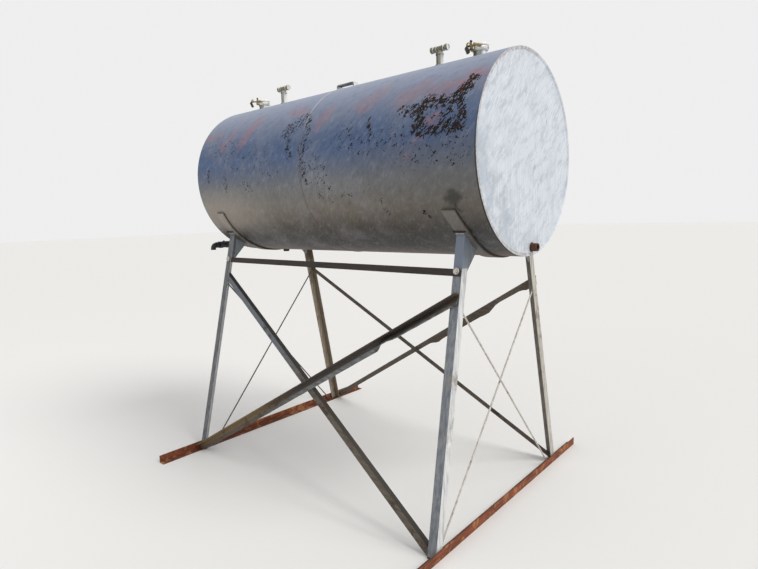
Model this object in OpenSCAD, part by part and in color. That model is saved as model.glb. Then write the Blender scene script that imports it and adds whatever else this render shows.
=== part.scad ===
// Elevated horizontal fuel storage tank on an angle-iron stand with two cross skids.
// X runs along the tank towards its near end, Y across it with the left side negative, Z up.

/* [Tank shell] */
// Outer diameter of the shell
tank_d = 1067; // [1000:1:1120]
// Length of the shell from end to end
tank_len = 2337; // [2280:1:3000]
// Thickness of the shell plate
shell_t = 2.7; // [2:0.1:6]
// Height of the lowest line of the shell above the floor
belly_z = 1450; // [1350:1:1600]
// Place of the girth seam, measured from the middle of the tank
seam_x = -40; // [-110:1:110]
// Width of the girth weld
girth_weld_w = 11; // [6:0.5:20]
// Height of the girth weld above the plate
girth_weld_h = 2.6; // [1:0.1:4]

/* [Flat heads] */
// Thickness of the head plate
head_t = 3.4; // [2.5:0.1:6]
// Depth of the head's flat face inside the end of the shell
head_recess = 4; // [2:0.5:10]
// Outer radius of the knuckle between face and flange
knuckle_r = 12; // [8:0.5:20]
// Depth of the head's turned flange, with its knuckle
head_flange = 38; // [25:1:60]
// Width of the weld that closes the rim
rim_weld_w = 9; // [6:0.5:11]

/* [Saddles] */
// Width of the saddle bar along the tank
saddle_w = 76; // [50:1:120]
// Thickness of the saddle bar
saddle_t = 9.5; // [6:0.5:16]
// Amount by which the saddle is rolled wider than the shell
saddle_ease = 8; // [0:0.5:16]
// Angle from the lowest line to each free end of a saddle
saddle_end_angle = 62; // [54:1:75]
// Distance from the shell's near end to the middle of the near saddle
near_saddle_in = 170; // [120:1:220]
// Distance from the shell's far end to the middle of the far saddle
far_saddle_in = 180; // [120:1:220]

/* [Legs] */
// Width of each flange of the leg angle
leg_w = 50.8; // [38:0.1:64]
// Thickness of the leg angle
leg_t = 4.8; // [3:0.1:8]
// Angle from the tank's lowest line to the place where a leg's outer corner meets the saddle
leg_angle = 41.9; // [37:0.1:48]
// Distance from the middle plane to the outer corner of a leg at the floor
leg_base_y = 707; // [640:1:800]
// Distance from the middle of the near saddle out to the near legs' outer faces, at the floor
near_base_out = 38; // [10:1:80]
// The same distance where the near legs meet the saddle
near_top_out = 8; // [0:1:30]
// Distance from the middle of the far saddle out to the far legs' outer faces, at the floor
far_base_out = 112; // [70:1:140]
// The same distance where the far legs meet the saddle
far_top_out = 58; // [20:1:70]

/* [Gussets] */
// Thickness of a gusset plate
gusset_t = 6; // [4:0.5:10]
// Distance down the leg from the saddle to a gusset's lower corner
gusset_drop = 190; // [150:1:240]
// Angle between a gusset's free edge and its leg
gusset_angle = 33; // [25:1:45]
// Overlap of a gusset on the leg's flange
gusset_lap = 25; // [15:1:35]

/* [Skids] */
// Length of a skid
skid_len = 2040; // [1700:1:2600]
// Width of each flange of the skid angle
skid_w = 50.8; // [38:0.1:76]
// Thickness of the skid angle
skid_t = 4.8; // [3:0.1:8]

/* [Bracing] */
// Width of each flange of the outer braces' angle
brace_w = 50.8; // [38:0.1:60]
// Width of each flange of the left inner brace's angle
inner_brace_w = 38.1; // [30:0.1:50.8]
// Thickness of the brace angles
brace_t = 4.8; // [3:0.1:7]
// Distance from the belly line down to the upper end of the outer braces, on the near legs
outer_brace_down = 158; // [120:1:300]
// Height on the far legs of the upper edge of the outer braces
outer_brace_foot = 26; // [24:1:120]
// Distance from the belly line down to the upper end of the left inner brace, on the far leg
inner_brace_down = 143; // [120:1:300]
// Height on the near leg of the upper edge of the left inner brace
inner_brace_foot = 16; // [14:1:120]
// Distance from the belly line down to the upper end of the flat brace, on the far leg
flat_brace_down = 172; // [120:1:300]
// Height on the near leg of the upper edge of the flat brace
flat_brace_foot = 26; // [20:1:120]
// Width of the flat inner brace on the right side
flat_brace_w = 32; // [25:1:50]
// Thickness of the flat inner brace on the right side
flat_brace_t = 6; // [4:0.5:8]
// Width of the side rail
rail_w = 37; // [25:1:50]
// Thickness of the side rail
rail_t = 8; // [5:0.5:10]
// Distance from the belly line down to the side rail's middle line
rail_down = 57; // [40:1:90]
// Corner radius of the side rail's ends
rail_end_r = 13; // [4:0.5:18]

/* [End rods] */
// Diameter of an end rod
rod_d = 10; // [8:0.5:14]
// Distance from the belly line down to the upper end of an end rod
rod_down = 235; // [200:1:320]
// Distance from the middle plane to the foot of an end rod
rod_foot_y = 617; // [560:1:640]
// Overlap of a rod's upper end on the leg's flange
rod_lap = 22; // [10:1:30]
// Offset along the tank of the second rod's foot, so that the two pass each other
rod_pass = 29; // [27:1:33]

/* [Fill openings] */
// Distance from the shell's near end to the near fill opening
near_fill_in = 288; // [120:1:400]
// Distance from the shell's far end to the far fill opening
far_fill_in = 136; // [120:1:260]
// Outer diameter of a fill neck
fill_neck_d = 73; // [60:1:80]
// Bore of a fill neck
fill_bore_d = 59; // [45:1:59]
// Height of a fill neck above the shell's top line
fill_neck_h = 40; // [25:1:60]
// Diameter of the fill cap's body
fill_body_d = 92; // [84:1:120]
// Height of the fill cap's body
fill_body_h = 25; // [18:1:40]
// Diameter of the fill cap's lid
fill_lid_d = 97; // [90:1:130]
// Height of the fill cap's lid
fill_lid_h = 18; // [12:1:28]
// Width of the lid's hasp
hasp_w = 24; // [14:1:34]
// Thickness of the lid's hasp
hasp_t = 6; // [3:0.5:8]
// Reach of the near lid's hasp from the middle of the lid
near_hasp_reach = 76; // [62:1:130]
// Reach of the far lid's hasp from the middle of the lid
far_hasp_reach = 108; // [62:1:130]
// Side of the lock block that hangs on a hasp
lock_w = 30; // [20:1:40]
// Height of the lock block
lock_h = 36; // [24:1:50]
// Tilt of the lock block
lock_tilt = 30; // [0:1:60]
// Turn of the near lid about its neck
near_lid_turn = 24; // [-90:1:90]
// Turn of the far lid about its neck
far_lid_turn = -8; // [-90:1:90]

/* [Vents] */
// Distance from the near fill opening to the near vent
near_vent_gap = 264; // [180:1:400]
// Distance from the far fill opening to the far vent
far_vent_gap = 245; // [180:1:330]
// Outer diameter of a vent riser
riser_d = 42.2; // [33:0.1:48]
// Bore of a vent riser
riser_bore_d = 35; // [25:0.5:36]
// Height of the near vent's tee above the shell's top line
near_vent_h = 112; // [90:1:160]
// Height of the far vent's tee above the shell's top line
far_vent_h = 128; // [90:1:180]
// Length of a vent tee's body along the tank
tee_len = 78; // [64:1:100]
// Diameter of a vent tee's body
tee_d = 48; // [46:0.5:52]
// Diameter of the collars on a vent tee
tee_collar_d = 54; // [52:0.5:60]
// Length of a vent tee's collars
tee_collar_w = 13; // [8:0.5:18]
// Diameter of the open nipples in a vent tee
nipple_d = 33.4; // [26:0.1:36]
// Projection of the nipples beyond a vent tee's collars
nipple_out = 20; // [8:1:40]

/* [Lifting lug] */
// Distance from the girth seam to the middle of the lug, on the far side
lug_in = 88; // [88:1:200]
// Length of the lug outside its uprights
lug_len = 157; // [120:1:170]
// Height of the lug above the shell's top line
lug_h = 48; // [30:1:80]
// Width of the lug bar across the tank
lug_w = 44; // [25:1:60]
// Thickness of the lug bar
lug_t = 8; // [5:0.5:12]

/* [Lower fittings] */
// Distance of the head couplings from the middle plane
coupling_y = 50; // [0:1:80]
// Height of the head couplings above the belly line
coupling_up = 46; // [44:1:80]
// Outer diameter of a head coupling
coupling_d = 44; // [38:0.5:50]
// Bore of a head coupling
coupling_bore_d = 31; // [20:0.5:33]
// Length of a head coupling outside the head's face
coupling_len = 36; // [25:1:60]
// Outer diameter of the outlet pipe
outlet_d = 33.4; // [26:0.1:36]
// Distance of the outlet pipe's run from the end of the shell
outlet_stand = 72; // [68:1:110]
// Distance of the outlet valve's inner end from the middle plane
valve_y = 262; // [200:1:300]
// Length of the outlet valve's body
valve_len = 84; // [60:1:110]
// Width across the flats of the outlet valve's end nuts
valve_nut = 50; // [42:0.5:60]
// Height from the outlet's middle line down to the spout's mouth
spout_drop = 36; // [32:1:70]
// Outer diameter of the spout's collar
spout_d = 38; // [34:0.5:46]
// Bore of the spout
spout_bore_d = 24; // [16:0.5:26]
// Distance from the shell's far end to the belly plug
plug_in = 318; // [270:1:600]
// Width across the flats of the belly plug
plug_w = 38; // [28:0.5:50]
// Depth of the belly plug's boss below the shell
plug_h = 10; // [6:0.5:20]

/* [Hidden] */
$fn = 96;
// Small clearance between pieces that are welded or rest on each other
seat = 0.2;
// Root radius of the rolled angles
root_r = 5;
arc_steps = 4;
R = tank_d / 2;
half_len = tank_len / 2;
axis_z = belly_z + R;
crown_z = belly_z + tank_d;
// Saddles, rolled wider than the shell and touching it at the belly line
saddle_ri = R + saddle_ease;
saddle_ro = saddle_ri + saddle_t;
saddle_axis_z = belly_z - seat + saddle_ri;
near_saddle_x = half_len - near_saddle_in;
far_saddle_x = half_len - far_saddle_in;
// Place where a leg's outer corner meets the saddle
leg_top_y = saddle_ro * sin(leg_angle);
leg_top_z = saddle_axis_z - saddle_ro * cos(leg_angle);
// Lean of the legs' side planes
side_lean = atan((leg_base_y - leg_top_y) / leg_top_z);
// Heights of the bracing on the legs
outer_brace_top = belly_z - outer_brace_down;
inner_brace_top = belly_z - inner_brace_down;
flat_brace_top = belly_z - flat_brace_down;
rail_z = belly_z - rail_down;
rod_top_z = belly_z - rod_down;
// Places of the crown and belly fittings
near_fill_x = half_len - near_fill_in;
far_fill_x = half_len - far_fill_in;
near_vent_x = near_fill_x - near_vent_gap;
far_vent_x = far_fill_x - far_vent_gap;
lug_x = lug_in - seam_x;
plug_x = half_len - plug_in;
// Head
head_r = R - shell_t - seat;
head_face = half_len - head_recess;
coupling_z = belly_z + coupling_up;
outlet_x = half_len + outlet_stand;
elbow_r = 22;
elbow_band_w = 13;
elbow_band_h = 3;
pipe_stop = 4;
elbow_neck = 8;
bend_r = outlet_stand - coupling_len + head_recess - elbow_neck;
// The origin lies under the middle of the whole assembly
near_reach = head_face + coupling_len;
far_reach = outlet_x + valve_nut / cos(30) / 2;
shift_x = (far_reach - near_reach) / 2;
big = 4 * tank_len;

silver_paint = "#aeb2ba";
bright_paint = "#d9dee5";
stand_paint = "#8f97a3";
weathered = "#5a5047";
rust = "#8c4a2f";
dark_rust = "#3a2e28";
rod_grey = "#c9c6bf";
black_iron = "#1d2126";

// Place of a leg's outer corner at height z: across the tank, then along it
function leg_y(z) = leg_base_y - (leg_base_y - leg_top_y) * z / leg_top_z;
function base_x(end) = end > 0 ? near_saddle_x + near_base_out : far_saddle_x + far_base_out;
function top_x(end) = end > 0 ? near_saddle_x + near_top_out : far_saddle_x + far_top_out;
function leg_x(end, z) = base_x(end) - (base_x(end) - top_x(end)) * z / leg_top_z;
// Height z as a distance up the sloping side plane
function up_slope(z) = z / cos(side_lean);
function arc(cx, cy, r, a0, a1) = [
    for (i = [0 : arc_steps]) let (a = a0 + (a1 - a0) * i / arc_steps) [cx + r * cos(a), cy + r * sin(a)]
];

// Rolled angle section with its heel at the origin and its flanges along +X and +Y
function angle_section(w, t) = let (toe = t / 2) concat(
    [[0, 0], [w, 0]],
    arc(w - toe, t - toe, toe, 0, 90),
    arc(t + root_r, t + root_r, root_r, 270, 180),
    arc(t - toe, w - toe, toe, 0, 90),
    [[0, w]]
);

// Moves the tank's own frame so that the origin lies under the middle of the assembly
module placed() {
    translate([shift_x, 0, 0]) children();
}

// Turns a piece drawn for the near right corner into another corner
module corner(end, side) {
    mirror([end < 0 ? 1 : 0, 0, 0]) mirror([0, side < 0 ? 1 : 0, 0]) children();
}

// Plane of the outer faces of the right legs: X along the tank, Y outwards, Z up the slope
module side_plane() {
    translate([0, leg_base_y, 0]) rotate([side_lean, 0, 0]) children();
}

// Frame of one leg: Z along its outer corner
module leg_frame(end) {
    slope_len = leg_top_z / cos(side_lean);
    side_plane()
        translate([base_x(end), 0, 0])
            rotate([0, -atan((base_x(end) - top_x(end)) / slope_len), 0]) children();
}

module cylinder_x(r, x0, x1, z) {
    translate([x0, 0, z]) rotate([0, 90, 0]) cylinder(r = r, h = x1 - x0);
}

// Cylinder along the tank that other pieces are cut to
module cut_cylinder(r, z) {
    translate([-half_len, 0, z]) rotate([0, 90, 0]) cylinder(r = r, h = tank_len, $fn = 4 * $fn);
}

module ring_x(x0) {
    translate([x0, 0, axis_z]) rotate([0, 90, 0]) rotate_extrude() children();
}

// Keeps what lies above the shell and cuts its lower end to the shell's curve
module coped_on_shell() {
    difference() {
        children();
        cut_cylinder(R + seat, axis_z);
    }
}

module above_skids() {
    intersection() {
        children();
        translate([-big / 2, -big / 2, skid_t + seat]) cube(big);
    }
}

module course(x0, x1) {
    difference() {
        cylinder_x(R, x0, x1, axis_z);
        cylinder_x(R - shell_t, x0 - 1, x1 + 1, axis_z);
        for (x = [near_fill_x, -far_fill_x]) translate([x, 0, axis_z]) cylinder(d = fill_bore_d, h = tank_d);
        for (x = [near_vent_x, -far_vent_x]) translate([x, 0, axis_z]) cylinder(d = riser_bore_d, h = tank_d);
    }
}

module shell_near() {
    color(silver_paint) placed() course(seam_x, half_len);
}

module shell_far() {
    color(silver_paint) placed() course(-half_len, seam_x);
}

module girth_weld() {
    bead_r = (girth_weld_w * girth_weld_w / 4 + girth_weld_h * girth_weld_h) / (2 * girth_weld_h);
    bead_a = asin(girth_weld_w / 2 / bead_r);
    color(silver_paint) placed() ring_x(seam_x)
        polygon(concat(
            [for (i = [-arc_steps : arc_steps]) let (a = i * bead_a / arc_steps)
                [R + seat + girth_weld_h - bead_r + bead_r * cos(a), bead_r * sin(a)]]
        ));
}

// Distance that the knuckle drops below the flat face at radius r
function knuckle_drop(r) =
    let (e = r - head_r + knuckle_r)
    e <= 0 ? 0 : knuckle_r - sqrt(knuckle_r * knuckle_r - e * e);

module head_plate() {
    inner_r = max(knuckle_r - head_t, 0.5);
    difference() {
        translate([head_face, 0, axis_z]) rotate([0, 90, 0]) rotate_extrude()
            polygon(concat(
                [[0, -head_t], [0, 0]],
                arc(head_r - knuckle_r, -knuckle_r, knuckle_r, 90, 0),
                [[head_r, -head_flange], [head_r - head_t, -head_flange]],
                arc(head_r - knuckle_r, -knuckle_r, inner_r, 0, 90)
            ));
        translate([0, coupling_y, 0]) cylinder_x(coupling_bore_d / 2, 0, half_len, coupling_z);
    }
}

module head_near() {
    color(bright_paint) placed() head_plate();
}

module head_far() {
    color(silver_paint) placed() rotate([0, 0, 180]) head_plate();
}

// Cove weld between the end of the shell and the head's knuckle
module rim_weld() {
    foot_r = head_r - rim_weld_w;
    foot_steps = 6;
    crown_out = head_recess + 1.4;
    throat_out = head_recess * 0.75;
    toe_out = 1.1;
    color(silver_paint) translate([head_face, 0, axis_z]) rotate([0, 90, 0]) rotate_extrude()
        polygon(concat(
            [for (i = [0 : foot_steps]) let (r = foot_r + rim_weld_w * 0.9 * i / foot_steps)
                [r, seat - knuckle_drop(r)]],
            [[head_r, head_recess + seat], [R - shell_t / 4, head_recess + seat]],
            [[R - shell_t * 0.6, crown_out], [head_r - rim_weld_w * 0.35, throat_out], [foot_r + 1, toe_out]]
        ));
}

module rim_weld_near() {
    placed() rim_weld();
}

module rim_weld_far() {
    placed() rotate([0, 0, 180]) rim_weld();
}

module saddle(x) {
    color(silver_paint) placed()
        translate([x - saddle_w / 2, 0, saddle_axis_z])
            rotate([0, 90, 0]) rotate([0, 0, -saddle_end_angle])
                rotate_extrude(angle = 2 * saddle_end_angle)
                    translate([saddle_ri, 0]) square([saddle_t, saddle_w]);
}

module saddle_near() {
    saddle(near_saddle_x);
}

module saddle_far() {
    saddle(-far_saddle_x);
}

// Takes away what would lie inside a saddle's outer face
module coped_under_saddle() {
    difference() {
        children();
        cut_cylinder(saddle_ro + seat, saddle_axis_z);
    }
}

module leg(end, side) {
    color(stand_paint) placed() corner(end, side)
        above_skids() coped_under_saddle()
            leg_frame(end)
                translate([0, 0, -leg_w]) linear_extrude(leg_w + up_slope(axis_z - R / 2))
                    rotate(180) polygon(angle_section(leg_w, leg_t));
}

module leg_near_left() {
    leg(1, -1);
}

module leg_near_right() {
    leg(1, 1);
}

module leg_far_left() {
    leg(-1, -1);
}

module leg_far_right() {
    leg(-1, 1);
}

// Plate on the inner face of a leg's end flange, cut to the saddle above it
module gusset(end, side) {
    rise = tank_d / 3;
    low = up_slope(leg_top_z) - gusset_drop;
    color(silver_paint) placed() corner(end, side)
        coped_under_saddle()
            leg_frame(end)
                translate([-leg_t - seat, 0, 0]) rotate([90, 0, -90]) linear_extrude(gusset_t)
                    polygon([
                        [leg_w - gusset_lap, low],
                        [leg_w - gusset_lap, low + rise],
                        [leg_w + rise * tan(gusset_angle), low + rise],
                        [leg_w, low]
                    ]);
}

module gusset_near_left() {
    gusset(1, -1);
}

module gusset_near_right() {
    gusset(1, 1);
}

module gusset_far_left() {
    gusset(-1, -1);
}

module gusset_far_right() {
    gusset(-1, 1);
}

// Angle on the floor with its upright flange outside the legs
module skid(end) {
    color(rust) placed() mirror([end < 0 ? 1 : 0, 0, 0])
        translate([base_x(end) + root_r + skid_t, skid_len / 2, 0]) rotate([90, 0, 0])
            linear_extrude(skid_len) mirror([1, 0]) polygon(angle_section(skid_w, skid_t));
}

module skid_near() {
    skid(1);
}

module skid_far() {
    skid(-1);
}

// Bar in the side plane from (x0, z0) to (x1, z1), its section drawn as (down, outwards)
module side_bar(x0, z0, x1, z1) {
    w0 = up_slope(z0);
    w1 = up_slope(z1);
    run = norm([x1 - x0, w1 - w0]);
    side_plane() translate([x0, 0, w0]) rotate([0, -atan2(w1 - w0, x1 - x0), 0])
        rotate([0, 90, 0]) translate([0, 0, -leg_w]) linear_extrude(run + 2 * leg_w) children();
}

// Keeps the stretch of a brace between two places along the tank
module between(x0, x1) {
    intersection() {
        children();
        translate([x0, -big / 2, -big / 2]) cube([x1 - x0, big, big]);
    }
}

// Angle brace on the legs' outer faces, its upper flange turned outwards
module outer_brace(side) {
    x0 = -leg_x(-1, 0);
    x1 = leg_x(1, outer_brace_top);
    color(weathered) placed() corner(1, side)
        above_skids() between(x0, x1)
            side_bar(-leg_x(-1, outer_brace_foot), outer_brace_foot, x1, outer_brace_top)
                translate([0, seat]) polygon(angle_section(brace_w, brace_t));
}

// Line of an inner brace, behind the legs' side flanges
module inner_bar(top, foot) {
    inset = leg_t + root_r + 1;
    above_skids() between(inset - leg_x(-1, top), leg_x(1, foot) - inset)
        side_bar(-leg_x(-1, top), top, leg_x(1, foot), foot)
            translate([0, -leg_t - seat]) children();
}

module brace_left_outer() {
    outer_brace(-1);
}

module brace_right_outer() {
    outer_brace(1);
}

module brace_left_inner() {
    color(weathered) placed() corner(1, -1)
        inner_bar(inner_brace_top, inner_brace_foot)
            mirror([0, 1]) polygon(angle_section(inner_brace_w, brace_t));
}

module brace_right_inner() {
    color(weathered) placed()
        inner_bar(flat_brace_top, flat_brace_foot)
            translate([0, -flat_brace_t]) square([flat_brace_w, flat_brace_t]);
}

// Flat bar from the outside of the near left leg to the inside of the far left leg
module side_rail() {
    x0 = leg_t - leg_x(-1, rail_z);
    x1 = leg_x(1, rail_z);
    near_edge = x1 - leg_w;
    far_edge = x0 - leg_t + leg_w;
    skew = atan((rail_t + leg_t + 2 * seat) / (near_edge - far_edge));
    r = min(rail_end_r, rail_w / 2 - 0.1);
    color(dark_rust) placed() corner(1, -1) side_plane()
        translate([near_edge, seat, up_slope(rail_z)]) rotate([0, 0, skew])
            translate([x0 + root_r - near_edge, rail_t, -rail_w / 2]) rotate([90, 0, 0])
                linear_extrude(rail_t) polygon(concat(
                    arc(x1 - x0 - root_r - r, r, r, 270, 360),
                    arc(x1 - x0 - root_r - r, rail_w - r, r, 0, 90),
                    arc(r, rail_w - r, r, 90, 180),
                    arc(r, r, r, 180, 270)
                ));
}

module rod(p, q) {
    v = q - p;
    translate(p) rotate([0, acos(v[2] / norm(v)), atan2(v[1], v[0])]) rotate(60)
        cylinder(d = rod_d, h = norm(v), $fn = 24);
}

// Round rod from one leg down to the skid by the other leg, drawn from the right leg's top
module end_rod(end, side, pass) {
    inset = leg_t + rod_d / 2 + seat;
    top = [leg_x(end, rod_top_z) - inset, leg_y(rod_top_z) - leg_w + rod_lap, rod_top_z];
    foot = [leg_x(end, 0) - inset - pass, -rod_foot_y, skid_t];
    color(rod_grey) placed() corner(end, side)
        above_skids() rod(foot + (foot - top) * 2 * rod_d / norm(foot - top), top);
}

module rod_near_first() {
    end_rod(1, -1, 0);
}

module rod_near_second() {
    end_rod(1, 1, rod_pass);
}

module rod_far_first() {
    end_rod(-1, -1, 0);
}

module rod_far_second() {
    end_rod(-1, 1, rod_pass);
}

module fill_neck(x) {
    color(stand_paint) placed() coped_on_shell()
        translate([x, 0, axis_z]) difference() {
            cylinder(d = fill_neck_d, h = R + fill_neck_h);
            translate([0, 0, -1]) cylinder(d = fill_bore_d, h = tank_d);
        }
}

// Cast body with a hub on the neck, grip scallops round it and a groove under the lid
module fill_body(x) {
    body_r = fill_body_d / 2;
    hub_r = fill_neck_d / 2 + 5;
    hub_h = 3;
    cone_h = 6;
    groove = 4;
    scallops = 6;
    scallop_r = 10;
    color(stand_paint) placed() translate([x, 0, crown_z + fill_neck_h + seat]) difference() {
        rotate_extrude()
            polygon([
                [0, 0], [hub_r, 0], [hub_r, hub_h], [body_r, hub_h + cone_h],
                [body_r, fill_body_h - groove], [body_r - groove, fill_body_h - groove / 2],
                [body_r - groove, fill_body_h], [0, fill_body_h]
            ]);
        for (i = [1 : scallops])
            rotate(i * 360 / scallops) translate([body_r + scallop_r * 0.7, 0, -1])
                cylinder(r = scallop_r, h = fill_body_h - groove);
    }
}

// Domed lid with its hinge at the back, and a hasp with a stop and a hanging lock block on the far side
module fill_lid(x, turn, reach) {
    lid_r = fill_lid_d / 2;
    dome = fill_lid_h * 0.4;
    hinge_r = 6;
    hinge_w = 28;
    stop_t = 6;
    stop_h = fill_lid_h + 9;
    knob_r = 7;
    hasp_z = 3;
    color(bright_paint) placed()
        translate([x, 0, crown_z + fill_neck_h + fill_body_h + 2 * seat]) rotate(turn) union() {
            rotate_extrude()
                polygon([
                    [0, 0], [lid_r - 2, 0], [lid_r, 2], [lid_r, fill_lid_h - dome],
                    [lid_r - dome, fill_lid_h - dome / 2], [lid_r * 0.6, fill_lid_h - 1], [0, fill_lid_h]
                ]);
            translate([-hinge_w / 2, lid_r - 2 * hinge_r, hasp_z])
                cube([hinge_w, 3 * hinge_r, 1.2 * hinge_r]);
            translate([-hinge_w / 2, lid_r + hinge_r, hasp_z + hinge_r]) rotate([0, 90, 0])
                cylinder(r = hinge_r, h = hinge_w);
            translate([-reach, -hasp_w / 2, hasp_z]) cube([reach - lid_r / 2, hasp_w, hasp_t]);
            translate([-lid_r - stop_t, -hasp_w / 4, hasp_z]) cube([2 * stop_t, hasp_w / 2, stop_h]);
            translate([-lid_r, knob_r / 2, hasp_z + stop_h]) rotate([90, 0, 0])
                cylinder(r = knob_r, h = knob_r);
            translate([-reach, 0, hasp_z + hasp_t]) rotate([0, lock_tilt, 0])
                translate([-lock_w / 4, -lock_w / 2, -lock_h * 0.8]) cube([lock_w / 2, lock_w, lock_h]);
        }
}

module fill_neck_near() {
    fill_neck(near_fill_x);
}

module fill_body_near() {
    fill_body(near_fill_x);
}

module fill_lid_near() {
    fill_lid(near_fill_x, near_lid_turn, near_hasp_reach);
}

module fill_neck_far() {
    fill_neck(-far_fill_x);
}

module fill_body_far() {
    fill_body(-far_fill_x);
}

module fill_lid_far() {
    fill_lid(-far_fill_x, far_lid_turn, far_hasp_reach);
}

// Riser pipe in a half coupling on the shell
module vent_riser(x, h) {
    socket_h = 22;
    socket_wall = 6.5;
    color(stand_paint) placed() coped_on_shell()
        translate([x, 0, axis_z]) difference() {
            union() {
                cylinder(d = riser_d, h = R + h - tee_d / 2 - tee_collar_w / 2);
                cylinder(d = riser_d + 2 * socket_wall, h = R + socket_h);
            }
            translate([0, 0, -1]) cylinder(d = riser_bore_d, h = tank_d);
        }
}

// Pipe tee on the riser, its run along the tank with an open nipple in each end
module vent_tee(x, h) {
    half = tee_len / 2;
    nipple_wall = 3.5;
    branch_bore_d = riser_bore_d - 6;
    socket_z = -tee_d / 2 - tee_collar_w;
    color(stand_paint) placed() translate([x, 0, crown_z + h]) difference() {
        union() {
            translate([-half, 0, 0]) rotate([0, 90, 0]) cylinder(d = tee_d, h = tee_len);
            for (x0 = [-half, half - tee_collar_w])
                translate([x0, 0, 0]) rotate([0, 90, 0]) cylinder(d = tee_collar_d, h = tee_collar_w);
            translate([-half - nipple_out, 0, 0]) rotate([0, 90, 0])
                cylinder(d = nipple_d, h = tee_len + 2 * nipple_out);
            translate([0, 0, socket_z]) cylinder(d = tee_collar_d, h = -socket_z);
        }
        translate([-half - nipple_out - 1, 0, 0]) rotate([0, 90, 0])
            cylinder(d = nipple_d - 2 * nipple_wall, h = tee_len + 2 * nipple_out + 2);
        translate([0, 0, socket_z - 1]) cylinder(d = riser_d + 2 * seat, h = tee_collar_w / 2 + 1 + seat);
        translate([0, 0, -tee_d]) cylinder(d = branch_bore_d, h = tee_d);
    }
}

module vent_riser_near() {
    vent_riser(near_vent_x, near_vent_h);
}

module vent_tee_near() {
    vent_tee(near_vent_x, near_vent_h);
}

module vent_riser_far() {
    vent_riser(-far_vent_x, far_vent_h);
}

module vent_tee_far() {
    vent_tee(-far_vent_x, far_vent_h);
}

// Flat bar bent into a low staple, its feet cut to the shell
module lifting_lug() {
    r = lug_t + 4;
    top = crown_z + lug_h;
    color(silver_paint) placed() coped_on_shell()
        translate([-lug_x, lug_w / 2, 0]) rotate([90, 0, 0]) linear_extrude(lug_w) difference() {
            polygon(concat(
                [[-lug_len / 2, axis_z]],
                [[lug_len / 2, axis_z]],
                arc(lug_len / 2 - r, top - r, r, 0, 90),
                arc(r - lug_len / 2, top - r, r, 90, 180)
            ));
            polygon(concat(
                [[lug_t - lug_len / 2, 0]],
                [[lug_len / 2 - lug_t, 0]],
                arc(lug_len / 2 - r, top - r, r - lug_t, 0, 90),
                arc(r - lug_len / 2, top - r, r - lug_t, 90, 180)
            ));
        }
}

// Half coupling on the near head, open at its mouth
module drain_coupling() {
    color(dark_rust) placed() translate([0, coupling_y, 0]) difference() {
        cylinder_x(coupling_d / 2, head_face + seat, near_reach, coupling_z);
        cylinder_x(coupling_bore_d / 2, head_face - 1, near_reach + 1, coupling_z);
    }
}

// Coupling and elbow on the far head, turning from the tank's axis to its left side
module outlet_elbow() {
    color(black_iron) placed() translate([-outlet_x, -coupling_y, coupling_z]) difference() {
        union() {
            translate([bend_r, 0, 0]) rotate([0, 90, 0])
                cylinder(d = coupling_d, h = outlet_x - head_face - bend_r - seat);
            translate([bend_r, -bend_r, 0]) rotate([0, 0, 90]) rotate_extrude(angle = 90)
                translate([bend_r, 0]) circle(r = elbow_r - elbow_band_h);
            translate([0, -bend_r, 0]) rotate([90, 0, 0]) cylinder(r = elbow_r, h = elbow_band_w);
        }
        translate([0, -bend_r - pipe_stop, 0]) rotate([90, 0, 0])
            cylinder(d = outlet_d + 2 * seat, h = elbow_band_w);
    }
}

// Plain pipe from the elbow to the valve
module outlet_pipe() {
    y0 = coupling_y + bend_r + pipe_stop + seat;
    color(black_iron) placed() translate([-outlet_x, -y0, coupling_z]) rotate([90, 0, 0])
        cylinder(d = outlet_d, h = valve_y - y0);
}

// Valve body between two end nuts, with its stem on top
module outlet_valve() {
    nut_w = valve_len * 0.3;
    body_len = valve_len - 2 * seat;
    body_d = valve_nut - 4;
    stem_d = 16;
    stem_h = 8;
    color(black_iron) placed()
        translate([-outlet_x, -valve_y - seat, coupling_z]) rotate([90, 0, 0]) union() {
            cylinder(d = valve_nut / cos(30), h = nut_w, $fn = 6);
            cylinder(d = body_d, h = body_len);
            translate([0, 0, body_len - nut_w]) cylinder(d = valve_nut / cos(30), h = nut_w, $fn = 6);
            translate([0, 0, valve_len / 2]) rotate([-90, 0, 0])
                cylinder(d = stem_d, h = body_d / 2 + stem_h);
        }
}

// Neck, elbow and open spout that points down
module outlet_spout() {
    neck = 14;
    r = bend_r * 0.8;
    bend_y = -neck - elbow_band_w;
    mouth_wall = 4;
    color(black_iron) placed() translate([-outlet_x, -valve_y - valve_len, coupling_z]) difference() {
        union() {
            rotate([90, 0, 0]) cylinder(d = outlet_d, h = neck);
            translate([0, -neck, 0]) rotate([90, 0, 0]) cylinder(r = elbow_r, h = elbow_band_w);
            translate([0, bend_y, -r]) rotate([0, -90, 0]) rotate([0, 0, -90]) rotate_extrude(angle = 90)
                translate([r, 0]) circle(r = elbow_r - elbow_band_h);
            translate([0, bend_y - r, -spout_drop]) cylinder(d = spout_d, h = max(spout_drop - r, 2));
        }
        translate([0, bend_y - r, -spout_drop - 1]) cylinder(d = spout_bore_d, h = spout_drop - mouth_wall);
    }
}

// Hexagon plug in a short boss under the far half of the shell
module belly_plug() {
    boss_wall = 5;
    hex_h = 8;
    color(dark_rust) placed() difference() {
        translate([-plug_x, 0, belly_z - plug_h]) union() {
            cylinder(d = plug_w + 2 * boss_wall, h = 2 * plug_h);
            translate([0, 0, -hex_h]) cylinder(d = plug_w / cos(30), h = hex_h + 1, $fn = 6);
        }
        cut_cylinder(R + seat, axis_z);
    }
}

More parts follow.
